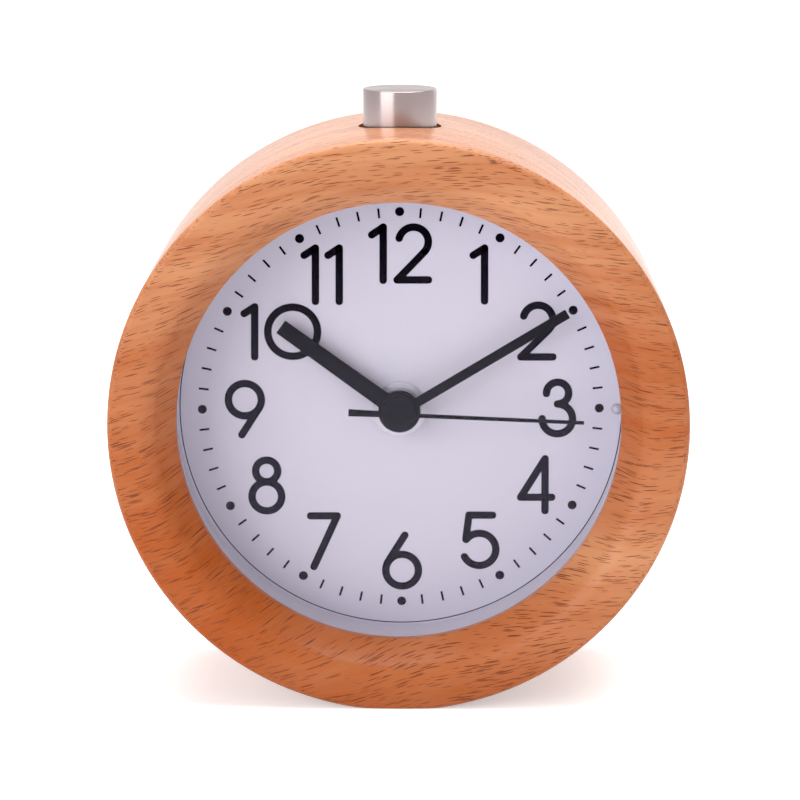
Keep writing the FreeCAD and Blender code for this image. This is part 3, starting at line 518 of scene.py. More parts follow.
def new_group(name: str, inputs: Dict[str, Tuple[str, object]],
              outputs: Dict[str, str]) -> Tuple[Nodes, Sequence[Socket]]:
    """Start a node group with its named sockets.

    Args:
        name: the group's name.
        inputs: kind and default of each input.
        outputs: kind of each output.

    Returns:
        The group's nodes and the values that it is given.
    """
    tree = bpy.data.node_groups.new(name, "ShaderNodeTree")
    for key, (kind, value) in inputs.items():
        made = tree.interface.new_socket(key, in_out="INPUT", socket_type="NodeSocket" + kind)
        made.default_value = value
    for key, kind in outputs.items():
        tree.interface.new_socket(key, in_out="OUTPUT", socket_type="NodeSocket" + kind)
    nodes = Nodes(tree)
    return nodes, nodes.add("NodeGroupInput").outputs


class Effects:
    """Node groups that the finishes share."""

    # Scale per metre, detail and roughness of the noise behind each effect.
    cloud_noise: Tuple[float, ...] = (90.0, 3.0, 0.5)
    marks_noise: Tuple[float, ...] = (420.0, 4.0, 0.65)

    def __init__(self) -> None:
        """Build every group once."""
        self.surface = self.surface_group()
        self.turning = self.turning_group()

    def surface_group(self) -> bpy.types.NodeTree:
        """Mottle, handling marks and fine texture of a made surface.

        Returns:
            The group, with outputs Colour, Roughness and Height.
        """
        nodes, given = new_group(
            "Made surface",
            {"Colour": ("Color", (0.5, 0.5, 0.5, 1.0)), "Mottle": ("Float", 0.06),
             "Roughness": ("Float", 0.4), "Wear": ("Float", 0.08),
             "Texture size": ("Float", 0.3)},
            {"Colour": "Color", "Roughness": "Float", "Height": "Float"})
        place = nodes.place()
        cloud = nodes.minus(nodes.noise(place, *self.cloud_noise), 0.5)
        marks = nodes.minus(nodes.noise(place, *self.marks_noise), 0.5)
        fine = nodes.noise(place, nodes.math("DIVIDE", 1 / MM, given["Texture size"]))
        level = nodes.times_plus(nodes.times(cloud, given["Mottle"]), 2.0, 1.0)
        shade = nodes.add("HueSaturation", None, Color=given["Colour"], Value=level)
        rough = nodes.math("MULTIPLY_ADD", nodes.times(marks, given["Wear"]), 2.0,
                           given["Roughness"], clamp=True)
        nodes.add("NodeGroupOutput", None, Colour=shade.outputs[0], Roughness=rough, Height=fine)
        return nodes.tree

    def turning_group(self) -> bpy.types.NodeTree:
        """Fine rings left by a turning or brushing tool.

        Returns:
            The group, with output Line.
        """
        nodes, given = new_group(
            "Turning marks",
            {"Place": ("Vector", (0.0, 0.0, 0.0)), "Pitch": ("Float", 0.1)}, {"Line": "Float"})
        line = nodes.add("TexNoise", {"noise_dimensions": "1D"}, W=nodes.split(given["Place"])[2],
                         Scale=nodes.math("DIVIDE", 1 / MM, given["Pitch"]), Detail=3.0,
                         Roughness=0.7)
        nodes.add("NodeGroupOutput", None, Line=line.outputs["Fac"])
        return nodes.tree


class Dressing:
    """A finish, which becomes a material."""

    name: str

    def shader(self, nodes: Nodes, effects: Effects) -> bpy.types.Node:
        """Lay out the shader, which each kind of finish does in its own way.

        Args:
            nodes: the material's node tree.
            effects: the shared node groups.

        Returns:
            The shader's node.
        """
        raise NotImplementedError

    def build(self, effects: Effects) -> bpy.types.Material:
        """Build the material.

        Args:
            effects: the shared node groups.

        Returns:
            The material.
        """
        material, nodes = new_material(self.name)
        shader = self.shader(nodes, effects)
        nodes.add("OutputMaterial", None, Surface=shader.outputs[0])
        return material


@dataclass(frozen=True)
class Finish(Dressing):
    """A made surface: plastic, paint, plating or print."""

    name: str
    colour: Colour
    roughness: float
    metallic: float = 0.0
    mottle: float = 0.05
    wear: float = 0.06
    texture_mm: float = 0.3
    depth_mm: float = 0.004
    specular: float = 0.5
    coat: float = 0.0

    def surface(self, nodes: Nodes, effects: Effects) -> Sequence[Socket]:
        """Place the made surface in a material and return its outputs."""
        return nodes.group(effects.surface, Colour=(*self.colour, 1.0), Mottle=self.mottle,
                           Roughness=self.roughness, Wear=self.wear,
                           Texture_size=self.texture_mm)

    def shader(self, nodes: Nodes, effects: Effects) -> bpy.types.Node:
        """Lay out the shader.

        Args:
            nodes: the material's node tree.
            effects: the shared node groups.

        Returns:
            The shader's node.
        """
        made = self.surface(nodes, effects)
        bump = nodes.add("Bump", None, Strength=1.0, Distance=self.depth_mm * MM,
                         Height=made["Height"])
        return nodes.add("BsdfPrincipled", None, Base_Color=made["Colour"],
                         Roughness=made["Roughness"], Normal=bump.outputs[0],
                         Metallic=self.metallic, Specular_IOR_Level=self.specular,
                         Coat_Weight=self.coat)


@dataclass(frozen=True)
class ClearFinish(Finish):
    """Clear glass that lets the lamps through, with a painted reflection fading from foot to top.

    Its index of refraction falls from the foot to the top, which paints this reflection.
    """

    roughness: float = 0.02
    mottle: float = 0.004
    wear: float = 0.01
    texture_mm: float = 4.0
    # Painted reflection: index at the foot and at the top, and the heights in mm where it falls.
    ior: float = 1.24
    top_ior: float = 1.005
    foot: float = 40.0
    top: float = 85.0
    tint: Colour = (0.80, 0.74, 1.0)
    shadow: float = 0.97

    def painted_reflection_ior(self, nodes: Nodes) -> Socket:
        """Lay the index of refraction over the height, painting a reflection that fades upwards.

        Args:
            nodes: the material's node tree.

        Returns:
            The index.
        """
        share = nodes.add("MapRange", None, Value=nodes.split(nodes.place())[2],
                          From_Min=self.foot * MM, From_Max=self.top * MM).outputs[0]
        return nodes.times_plus(nodes.times(share, share), self.top_ior - self.ior, self.ior)

    def shader(self, nodes: Nodes, effects: Effects) -> bpy.types.Node:
        """Lay out the shader.

        Args:
            nodes: the material's node tree.
            effects: the shared node groups.

        Returns:
            The shader's node.
        """
        made = self.surface(nodes, effects)
        # The falling index paints the reflection; the surroundings don't cause it.
        glass = nodes.add("BsdfPrincipled", None, Base_Color=made["Colour"],
                          Roughness=made["Roughness"], IOR=self.painted_reflection_ior(nodes),
                          Transmission_Weight=1.0, Specular_Tint=(*self.tint, 1.0))
        clear = nodes.add("BsdfTransparent", None, Color=(*(self.shadow,) * 3, 1.0))
        mix = nodes.add("MixShader")
        nodes.feed(mix.inputs, (nodes.rays("Shadow", "Diffuse"), glass.outputs[0],
                                clear.outputs[0]))
        return mix


@dataclass(frozen=True)
class BeechFinish(Dressing):
    """Steamed beech under clear satin varnish: soft figure, short dark pores and pale fibres."""

    name: str = "beech"
    pale: Colour = (0.572, 0.256, 0.122)
    deep: Colour = (0.372, 0.074, 0.008)
    pore: Colour = (0.145, 0.028, 0.008)
    # The bezel's slope, along which the grain is cut.
    axis_height: float = 49.4
    bezel_start: float = 45.55
    bezel_bend: float = 4.05
    bezel_rounding: float = 5.0
    bezel_slope: float = 1.38
    # How the grain drifts up: with x, x squared, x z, x squared z at the upper right, the
    # bezel's depth and soft noise.
    climb: float = 0.20
    arch: float = -0.0012
    twist: float = -0.0011
    dip: float = -0.000124
    bezel_drift: float = 0.14
    wander: float = 3.5
    # Cells along the grain, across it and round the log.
    figure_cell: Corner = (38.0, 3.4, 26.0)
    streak_cell: Corner = (22.0, 0.75, 9.0)
    fibre_cell: Corner = (4.0, 0.14, 0.14)
    crowd_cell: Corner = (11.0, 2.6, 2.6)
    # Where the figure, the streaks, the fibres and the pores begin to show and are full.
    figure_ramp: Pair = (0.28, 0.72)
    streak_ramp: Pair = (0.45, 0.75)
    fibre_ramp: Pair = (0.50, 0.80)
    pore_ramp: Pair = (1.0, 0.55)
    # Length, width, shift and share of each size of pore.
    pores: Tuple[Tuple[float, float, float, float], ...] = (
        (6.4, 0.34, 0.0, 1.0), (4.6, 0.29, 7.3, 0.85), (7.6, 0.36, 3.1, 0.88))
    # How much a pore grows with the crowd, and its least reach.
    pore_reach: Pair = (0.46, 0.02)
    # Darker heartwood: a stain at the lower left and two round patches.
    stain_heading: Corner = (-0.60, 0.0, -0.76)
    stain_ramp: Pair = (-12.0, 48.0)
    right_heart: Corner = (39.0, -18.0, 5.0)
    right_reach: float = 34.0
    right_share: float = 0.92
    low_heart: Corner = (-35.0, -18.0, -33.0)
    low_reach: float = 25.0
    heart_middle: float = 4.0
    pith: Corner = (0.0, 80.0, -70.0)
    # Pale share of the figure and of the sapwood, and of both together.
    pale_shares: Tuple[float, ...] = (0.46, 0.74, 0.82)
    # Share of each layer over it: heartwood, low patch, streaks, fibres and pores.
    layer_shares: Tuple[float, ...] = (0.28, 0.62, 0.34, 0.17, 0.84)
    # How the roughness grows with the streaks, and its least value.
    sheen: Pair = (0.14, 0.36)
    # The varnish: its mirror share below the coat, the coat's roughness and its index.
    specular: float = 0.04
    coat_roughness: float = 0.24
    coat_ior: float = 1.23
    relief: float = 0.04
    fibre_relief: float = 0.25

    def sunk(self, nodes: Nodes, x: Socket, z: Socket) -> Socket:
        """Follow the bezel: how deep its surface lies at this distance from the axis.

        Args:
            nodes: the material's node tree.
            x: place across the dial, in mm.
            z: place up the dial, in mm.

        Returns:
            The depth, in mm.
        """
        reach = nodes.vector("LENGTH", nodes.joined(X=x, Z=z))
        inward = nodes.larger(nodes.minus(self.bezel_start, reach), 0.0)
        curved = nodes.math("MINIMUM", inward, self.bezel_bend)
        rest = nodes.minus(self.bezel_rounding ** 2, nodes.times(curved, curved))
        bend = nodes.minus(self.bezel_rounding, nodes.math("SQRT", rest))
        return nodes.times_plus(nodes.minus(inward, curved), self.bezel_slope, bend)

    def grain(self, nodes: Nodes) -> Tuple[Socket, Socket]:
        """Lay out the grain's own places, in mm.

        It climbs on the left, levels out and dips at the upper right, and follows the bezel.

        Args:
            nodes: the material's node tree.

        Returns:
            The grain's places and the places centred on the hands' axis.
        """
        centred = nodes.add("Mapping", None, Vector=nodes.place(), Scale=(1 / MM,) * 3,
                            Location=(0.0, 0.0, -self.axis_height)).outputs[0]
        x, y, z = nodes.split(centred)
        sunk = self.sunk(nodes, x, z)
        right = nodes.larger(x, 0.0)
        upper_right = nodes.times(nodes.times(right, right), nodes.larger(z, 0.0))
        wander = nodes.minus(nodes.noise(centred, 0.04, 0.0), 0.5)
        drift = nodes.times(x, self.climb)
        for term, weight in ((nodes.times(x, x), self.arch), (nodes.times(x, z), self.twist),
                             (upper_right, self.dip), (sunk, self.bezel_drift),
                             (wander, self.wander)):
            drift = nodes.times_plus(term, weight, drift)
        return nodes.joined(X=x, Y=nodes.minus(y, sunk), Z=nodes.minus(z, drift)), centred

    def year_rings(self, nodes: Nodes, grain: Socket) -> Socket:
        """Lay the year rings of the log round its pith, which runs behind and below the clock.

        Args:
            nodes: the material's node tree.
            grain: the grain's own places, in mm.

        Returns:
            Places of (along the log, out from the pith, round the pith).
        """
        x, y, z = nodes.split(nodes.vector("SUBTRACT", grain, self.pith))
        out = nodes.math("SQRT", nodes.times_plus(y, y, nodes.times(z, z)))
        turn = nodes.times(nodes.math("ARCTAN2", z, y), Vector(self.pith).length)
        return nodes.joined(X=x, Y=out, Z=turn)

    def cells(self, nodes: Nodes, place: Socket, cell: Corner, shift: float = 0.0) -> Socket:
        """Stretch places into cells of this size, in mm."""
        return nodes.add("Mapping", None, Vector=place, Location=(shift,) * 3,
                         Scale=[1 / size for size in cell]).outputs[0]

    def pore_mask(self, nodes: Nodes, grain: Socket) -> Socket:
        """Scatter short dashes along the grain, crowded in one place and sparse in another.

        Args:
            nodes: the material's node tree.
            grain: the grain's own places, in mm.

        Returns:
            1 in a pore and 0 beside it.
        """
        crowd = nodes.noise(self.cells(nodes, grain, self.crowd_cell), 1.0)
        reach = nodes.times_plus(crowd, *self.pore_reach)
        mask: object = 0.0
        for length, width, shift, share in self.pores:
            place = self.cells(nodes, grain, (length, width, width), shift)
            dots = nodes.add("TexVoronoi", None, Vector=place, Scale=1.0, Randomness=1.0)
            ratio = nodes.math("DIVIDE", dots.outputs["Distance"], nodes.times(reach, share))
            mask = nodes.larger(mask, nodes.ramp(ratio, *self.pore_ramp))
        return mask

    def heartwood(self, nodes: Nodes, place: Socket) -> Tuple[Socket, Socket]:
        """Mark the darker wood.

        Args:
            nodes: the material's node tree.
            place: the places, in mm from the hands' axis.

        Returns:
            The share of heartwood all over, and that of the low patch.
        """
        right, low = [
            nodes.ramp(nodes.vector("DISTANCE", place, middle), reach, self.heart_middle)
            for middle, reach in ((self.right_heart, self.right_reach),
                                  (self.low_heart, self.low_reach))]
        stain = nodes.ramp(nodes.vector("DOT_PRODUCT", place, self.stain_heading),
                           *self.stain_ramp)
        return nodes.larger(stain, nodes.times(right, self.right_share)), low

    def shader(self, nodes: Nodes, effects: Effects) -> bpy.types.Node:
        """Lay out the shader.

        Args:
            nodes: the material's node tree.
            effects: the shared node groups; not used.

        Returns:
            The shader's node.
        """
        grain, centred = self.grain(nodes)
        rings = self.year_rings(nodes, grain)
        figure = nodes.noise(self.cells(nodes, rings, self.figure_cell), 1.0)
        streak = nodes.noise(self.cells(nodes, rings, self.streak_cell), 1.0, 3.0, 0.6)
        fibre = nodes.noise(self.cells(nodes, grain, self.fibre_cell), 1.0, 2.0, 0.6)
        pore = self.pore_mask(nodes, grain)
        heart, low_heart = self.heartwood(nodes, centred)
        from_figure, from_sapwood, of_both = self.pale_shares
        tone = nodes.times_plus(nodes.minus(1.0, heart), from_sapwood,
                                nodes.times(nodes.ramp(figure, *self.figure_ramp),
                                            from_figure))
        colour = nodes.blend(nodes.math("MULTIPLY", tone, of_both, clamp=True), self.deep,
                             self.pale)
        layers = ((heart, self.deep), (low_heart, self.deep),
                  (nodes.ramp(streak, *self.streak_ramp), self.deep),
                  (nodes.ramp(fibre, *self.fibre_ramp), self.pale), (pore, self.pore))
        for (mask, layer), share in zip(layers, self.layer_shares):
            colour = nodes.blend(nodes.times(mask, share), colour, layer)
        bump = nodes.add("Bump", None, Strength=1.0, Distance=self.relief * MM,
                         Height=nodes.minus(nodes.times(fibre, self.fibre_relief), pore))
        return nodes.add("BsdfPrincipled", None, Base_Color=colour, Normal=bump.outputs[0],
                         Roughness=nodes.times_plus(streak, *self.sheen),
                         Specular_IOR_Level=self.specular, Coat_Weight=1.0,
                         Coat_Roughness=self.coat_roughness, Coat_IOR=self.coat_ior)


@dataclass(frozen=True)
class TurnedMetalFinish(Finish):
    """Aluminium with fine rings round its axis."""

    mottle: float = 0.03
    wear: float = 0.05
    texture_mm: float = 0.5
    depth_mm: float = 0.0010
    pitch_mm: float = 0.12
    # How the tone grows with the rings, and its least value.
    ring_tone: Pair = (0.22, 0.88)
    anisotropy: float = 0.6
    anisotropy_turn: float = 0.25

    def shader(self, nodes: Nodes, effects: Effects) -> bpy.types.Node:
        """Lay out the shader.

        Args:
            nodes: the material's node tree.
            effects: the shared node groups.

        Returns:
            The shader's node.
        """
        line = nodes.group(effects.turning, Place=nodes.place(), Pitch=self.pitch_mm)["Line"]
        made = self.surface(nodes, effects)
        toned = nodes.add("HueSaturation", None, Color=made["Colour"],
                          Value=nodes.times_plus(line, *self.ring_tone))
        bump = nodes.add("Bump", None, Strength=1.0, Distance=self.depth_mm * MM, Height=line)
        return nodes.add("BsdfPrincipled", None, Base_Color=toned.outputs[0],
                         Roughness=made["Roughness"], Metallic=1.0, Normal=bump.outputs[0],
                         Anisotropic=self.anisotropy,
                         Anisotropic_Rotation=self.anisotropy_turn)


FINISHES = (
    BeechFinish(),
    ClearFinish("lens_glass", (0.985, 0.99, 1.0)),
    Finish("lamp_resin", (0.46, 0.45, 0.52), 0.20, mottle=0.04, coat=0.6),
    TurnedMetalFinish("button_aluminium", (0.372, 0.300, 0.294), 0.24),
    Finish("dial_paint", (0.592, 0.563, 0.672), 0.55, mottle=0.02, depth_mm=0.003, texture_mm=0.25),
    Finish("ring_plastic", (0.53, 0.51, 0.59), 0.50, mottle=0.03),
    # Black of the print, also worn by the painted shadow ring at the dial's edge.
    Finish("print_and_painted_shadow_black", (0.0020, 0.0010, 0.0045), 0.60, mottle=0.10, depth_mm=0.002,
           specular=0.02),
    Finish("hand_enamel", (0.0038, 0.0032, 0.0048), 0.42, mottle=0.12, depth_mm=0.003,
           texture_mm=0.2, specular=0.045),
    Finish("cap_gloss", (0.001, 0.001, 0.001), 0.13, mottle=0.10, depth_mm=0.001, specular=0.05),
    Finish("nickel", (0.62, 0.61, 0.60), 0.26, 1.0, texture_mm=0.15, depth_mm=0.001),
    Finish("satin_nickel", (0.455, 0.435, 0.49), 0.46, 1.0, texture_mm=0.10, depth_mm=0.002),
    Finish("spring_wire", (0.50, 0.50, 0.51), 0.24, 1.0, texture_mm=0.12, depth_mm=0.001),
    Finish("cover_plastic", (0.017, 0.017, 0.019), 0.52, mottle=0.14, texture_mm=0.24,
           depth_mm=0.014, specular=0.35),
    Finish("knob_plastic", (0.014, 0.014, 0.016), 0.34, mottle=0.12, texture_mm=0.3, depth_mm=0.003,
           specular=0.40),
    Finish("slider_plastic", (0.62, 0.62, 0.60), 0.36, mottle=0.04),
    Finish("mark_white", (0.62, 0.62, 0.62), 0.55, mottle=0.05),
    Finish("shell_plastic", (0.105, 0.110, 0.120), 0.46, mottle=0.08, texture_mm=0.25,
           depth_mm=0.006),
    Finish("gear_plastic", (0.66, 0.64, 0.56), 0.36, mottle=0.05),
    Finish("magnet", (0.10, 0.10, 0.105), 0.38, 1.0, texture_mm=0.15, depth_mm=0.002),
    Finish("copper_wire", (0.56, 0.21, 0.10), 0.34, 1.0, texture_mm=0.09, depth_mm=0.010),
    Finish("board_mask", (0.012, 0.110, 0.040), 0.30, mottle=0.10, coat=0.3),
    Finish("cell_sleeve", (0.030, 0.030, 0.034), 0.28, mottle=0.10, coat=0.4),
)

NODE_FINISH: Dict[str, str] = {
    "beech": "beech", "lens_glass": "lens_glass", "lamp_clear": "lamp_resin",
    "button_aluminium": "button_aluminium", "dial_white": "dial_paint",
    "ring_white": "ring_plastic", "hand_black": "hand_enamel", "nickel_steel": "nickel",
    "spring_steel": "spring_wire",
    "cover_black": "cover_plastic", "knob_black": "knob_plastic", "slider_white": "slider_plastic",
    "shell_grey": "shell_plastic", "gear_white": "gear_plastic", "magnet_dark": "magnet",
    "copper_wire": "copper_wire", "board_green": "board_mask", "cell_sleeve": "cell_sleeve",
}

SINGLE_FINISH: Dict[str, str] = {"dial_washer": "satin_nickel", "dial_nut": "satin_nickel"}


class Dresser:
    """Gives each piece its material and its place in the frame."""

    def __init__(self, frame: Dict[str, object]) -> None:
        """Build all finishes and dress the carried-over nodes.
        """
        effects = Effects()
        self.materials = {finish.name: finish.build(effects) for finish in FINISHES}
        slots = {row["node"]: row["material_slot"] for row in frame["record"]["subparts"]}
        for node, piece in frame["nodes"].items():
            self.paint(piece, SINGLE_FINISH.get(node, NODE_FINISH[slots[node]]))

    def paint(self, piece: Piece, finish: str) -> None:
        """Give a piece one finish all over.

        Args:
            piece: the object to paint.
            finish: name of the finish.
        """
        if not piece.data.materials:
            piece.data.materials.append(None)
        for slot in piece.material_slots:
            slot.material = self.materials[finish]

    def place(self, piece: Piece, body: Body, finish: str, slot: str,
              nodes: Sequence[str] = ()) -> None:
        """Finish a new piece, set it on its body and let it stand for nodes.

        Args:
            piece: the new piece.
            body: the body that carries it.
            finish: name of its finish.
            slot: the record's material slot; not used.
            nodes: CAD nodes that it replaces.
        """
        self.paint(piece, finish)
        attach(piece, body.value)
        if nodes:
            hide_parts(*nodes)
        log.info("%s rides on %s", piece.name, body.value)


# Pieces


@dataclass
class Case:
    """Turned wooden drum with its bezel, base flat and button well."""

    radius: float = 49.998
    front: float = -23.0
    rear: float = 23.0
    bore: float = 40.998
    rear_bore: float = 45.998
    lip: float = 38.498
    lip_front: float = -16.8
    lip_back: float = -15.3
    seat: float = 15.0
    funnel: float = 42.998
    edge: float = 1.2
    rear_edge: float = 0.4
    lip_edge: float = 0.35
    front_edge: float = 5.0
    well_radius: float = 7.3
    well_floor: float = 45.398
    well_edge: float = 0.4
    well_reach: float = 2.0

    def build(self, dresser: Dresser) -> None:
        """Turn the drum, cut its flat and its well, and dress it.

        Args:
            dresser: gives the finish and the body.
        """
        profile = [
            (self.radius, self.front, self.edge),
            (self.radius, self.rear, self.edge),
            (self.rear_bore, self.rear, self.rear_edge),
            (self.rear_bore, self.seat, 0.0),
            (self.bore, self.seat, 0.0),
            (self.bore, self.lip_back, 0.0),
            (self.lip, self.lip_back, 0.0),
            (self.lip, self.lip_front, self.lip_edge),
            (self.funnel, self.front, self.front_edge),
        ]
        case = turned("case_wood", eased(profile), (0.0, AXIS_HEIGHT), segments=192, closed=True)
        choose(case, edit=True)
        bpy.ops.mesh.bisect(plane_co=(0.0, 0.0, 0.0), plane_no=(0.0, 0.0, 1.0), use_fill=True,
                            clear_inner=True, threshold=1e-7)
        bpy.ops.object.mode_set(mode="OBJECT")
        floor = AXIS_HEIGHT + self.well_floor
        top = AXIS_HEIGHT + self.radius + self.well_reach
        well = eased([(0.0, floor, 0.0), (self.well_radius, floor, self.well_edge),
                      (self.well_radius, top, 0.0), (0.0, top, 0.0)])
        carve(case, turned("well_cutter", well, (0.0, BUTTON_DEPTH), Axis.HEIGHT, 64))
        finish_shape(case)
        dresser.place(case, Body.CASE, "beech", "beech", ["wooden_case"])


@dataclass
class Button:
    """Turned aluminium cap."""

    radius: float = 6.48
    low: float = 97.198
    top: float = 105.496
    edge: float = 0.2
    low_edge: float = 0.15
    cavity: float = 4.2
    cavity_edge: float = 0.3
    ceiling: float = 102.396

    def build(self, dresser: Dresser) -> None:
        """Turn the cap and dress it.

        Args:
            dresser: gives the finish and the body.
        """
        profile = [
            (0.0, self.ceiling, 0.0),
            (self.cavity, self.ceiling, self.cavity_edge),
            (self.cavity, self.low, 0.0),
            (self.radius, self.low, self.low_edge),
            (self.radius, self.top, self.edge),
            (0.0, self.top, 0.0),
        ]
        cap = turned("button_cap", eased(profile, 4), (0.0, BUTTON_DEPTH), Axis.HEIGHT,
                     smooth_degrees=50.0)
        dresser.place(cap, Body.SNOOZE, "button_aluminium", "button_aluminium",
                      ["snooze_button"])


@dataclass
class ButtonSpring:
    """Coil of round wire under the cap."""

    node: str = "button_spring"
    joint: str = "snooze_press"
    coil: float = 3.0
    wire: float = 0.29
    wire_sides: int = 12
    turns: int = 4
    steps: int = 40
    depth: float = BUTTON_DEPTH
    travel: float = 1.2

    def build(self, dresser: Dresser) -> None:
        """Wind the wire between the node's ends and dress it.

        Args:
            dresser: gives the finish and the body.
        """
        low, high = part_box(self.node)
        foot, length = low[2], high[2] - low[2]
        deselect()
        bpy.ops.mesh.primitive_circle_add(vertices=self.wire_sides, radius=self.wire * MM,
                                          location=(self.coil * MM, 0.0, 0.0), rotation=UPRIGHT)
        spring = named("button_coil")
        tool = spring.modifiers.new("wind", "SCREW")
        tool.axis = "Z"
        tool.screw_offset = (length - 2.0 * self.wire * MM) / self.turns
        tool.iterations = self.turns
        tool.steps = tool.render_steps = self.steps
        bpy.ops.object.modifier_apply(modifier=tool.name)
        choose(spring, edit=True)
        bpy.ops.mesh.fill_holes(sides=0)
        bpy.ops.object.mode_set(mode="OBJECT")
        spring.location = (0.0, self.depth * MM, foot + self.wire * MM)
        finish_shape(named(spring.name), 50.0)
        dresser.place(spring, Body.CASE, "spring_wire", "spring_steel", [self.node])
        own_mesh(spring)


@dataclass(frozen=True)
class Stroke:
    """One straight or round pen stroke on the dial."""

    points: Tuple[Pair, ...] = ()
    centre: Pair = (0.0, 0.0)
    radius: float = 0.0
    start: float = 0.0
    end: float = 0.0


def line(*points: Pair) -> Stroke:
    """Return a stroke through straight runs."""
    return Stroke(points=points)


def arc(centre: Pair, radius: float, start: float, end: float) -> Stroke:
    """Return a round stroke, its ends in degrees from +X towards +Z."""
    return Stroke(centre=centre, radius=radius, start=start, end=end)


def around(centre: Pair, degrees: float, reach: float) -> Pair:
    """Return the spot at an angle and a distance from a centre."""
    turn = math.radians(degrees)
    return (centre[0] + math.cos(turn) * reach, centre[1] + math.sin(turn) * reach)


NUMERALS: Dict[str, Tuple[Stroke, ...]] = {
    "twelve": (line((-4.88, 30.94), (-2.87, 32.30), (-2.88, 22.91)),
               arc((2.44, 29.72), 2.59, 166.0, -41.0),
               line((4.40, 28.02), (-0.42, 22.98), (5.06, 22.99))),
    "one": (line((12.90, 27.36), (14.88, 28.64), (14.92, 19.28)),),
    "two": (arc((24.34, 15.94), 2.60, 165.0, -42.0),
            line((26.28, 14.20), (21.37, 9.30), (26.99, 9.31))),
    "three": (arc((27.90, 2.82), 1.96, 182.0, -88.0), arc((27.90, -1.83), 2.69, 90.0, -181.0)),
    "four": (line((25.86, -18.50), (25.80, -9.05), (21.52, -16.06), (27.03, -16.05)),),
    "five": (line((16.54, -19.36), (12.36, -19.34), (11.81, -23.78)),
             arc((14.21, -25.63), 2.96, 142.5, -153.0)),
    "six": (arc((0.45, -29.50), 2.92, 0.0, 360.0), line((-2.20, -28.15), (0.93, -23.06))),
    "seven": (line((-15.85, -19.57), (-11.10, -19.56), (-15.29, -28.89)),),
    "eight": (arc((-23.61, -11.39), 1.96, 0.0, 360.0), arc((-23.61, -16.04), 2.64, 0.0, 360.0)),
    "nine": (arc((-27.36, 1.50), 2.92, 0.0, 360.0), line((-24.75, 0.20), (-27.94, -4.84))),
    "ten": (line((-27.35, 16.94), (-25.48, 18.14), (-25.56, 9.21)),
            arc((-18.83, 13.71), 4.39, 0.0, 360.0)),
    "eleven": (line((-16.73, 27.30), (-14.76, 28.58), (-14.79, 19.13)),
               line((-12.54, 27.31), (-10.58, 28.59), (-10.60, 19.14))),
}


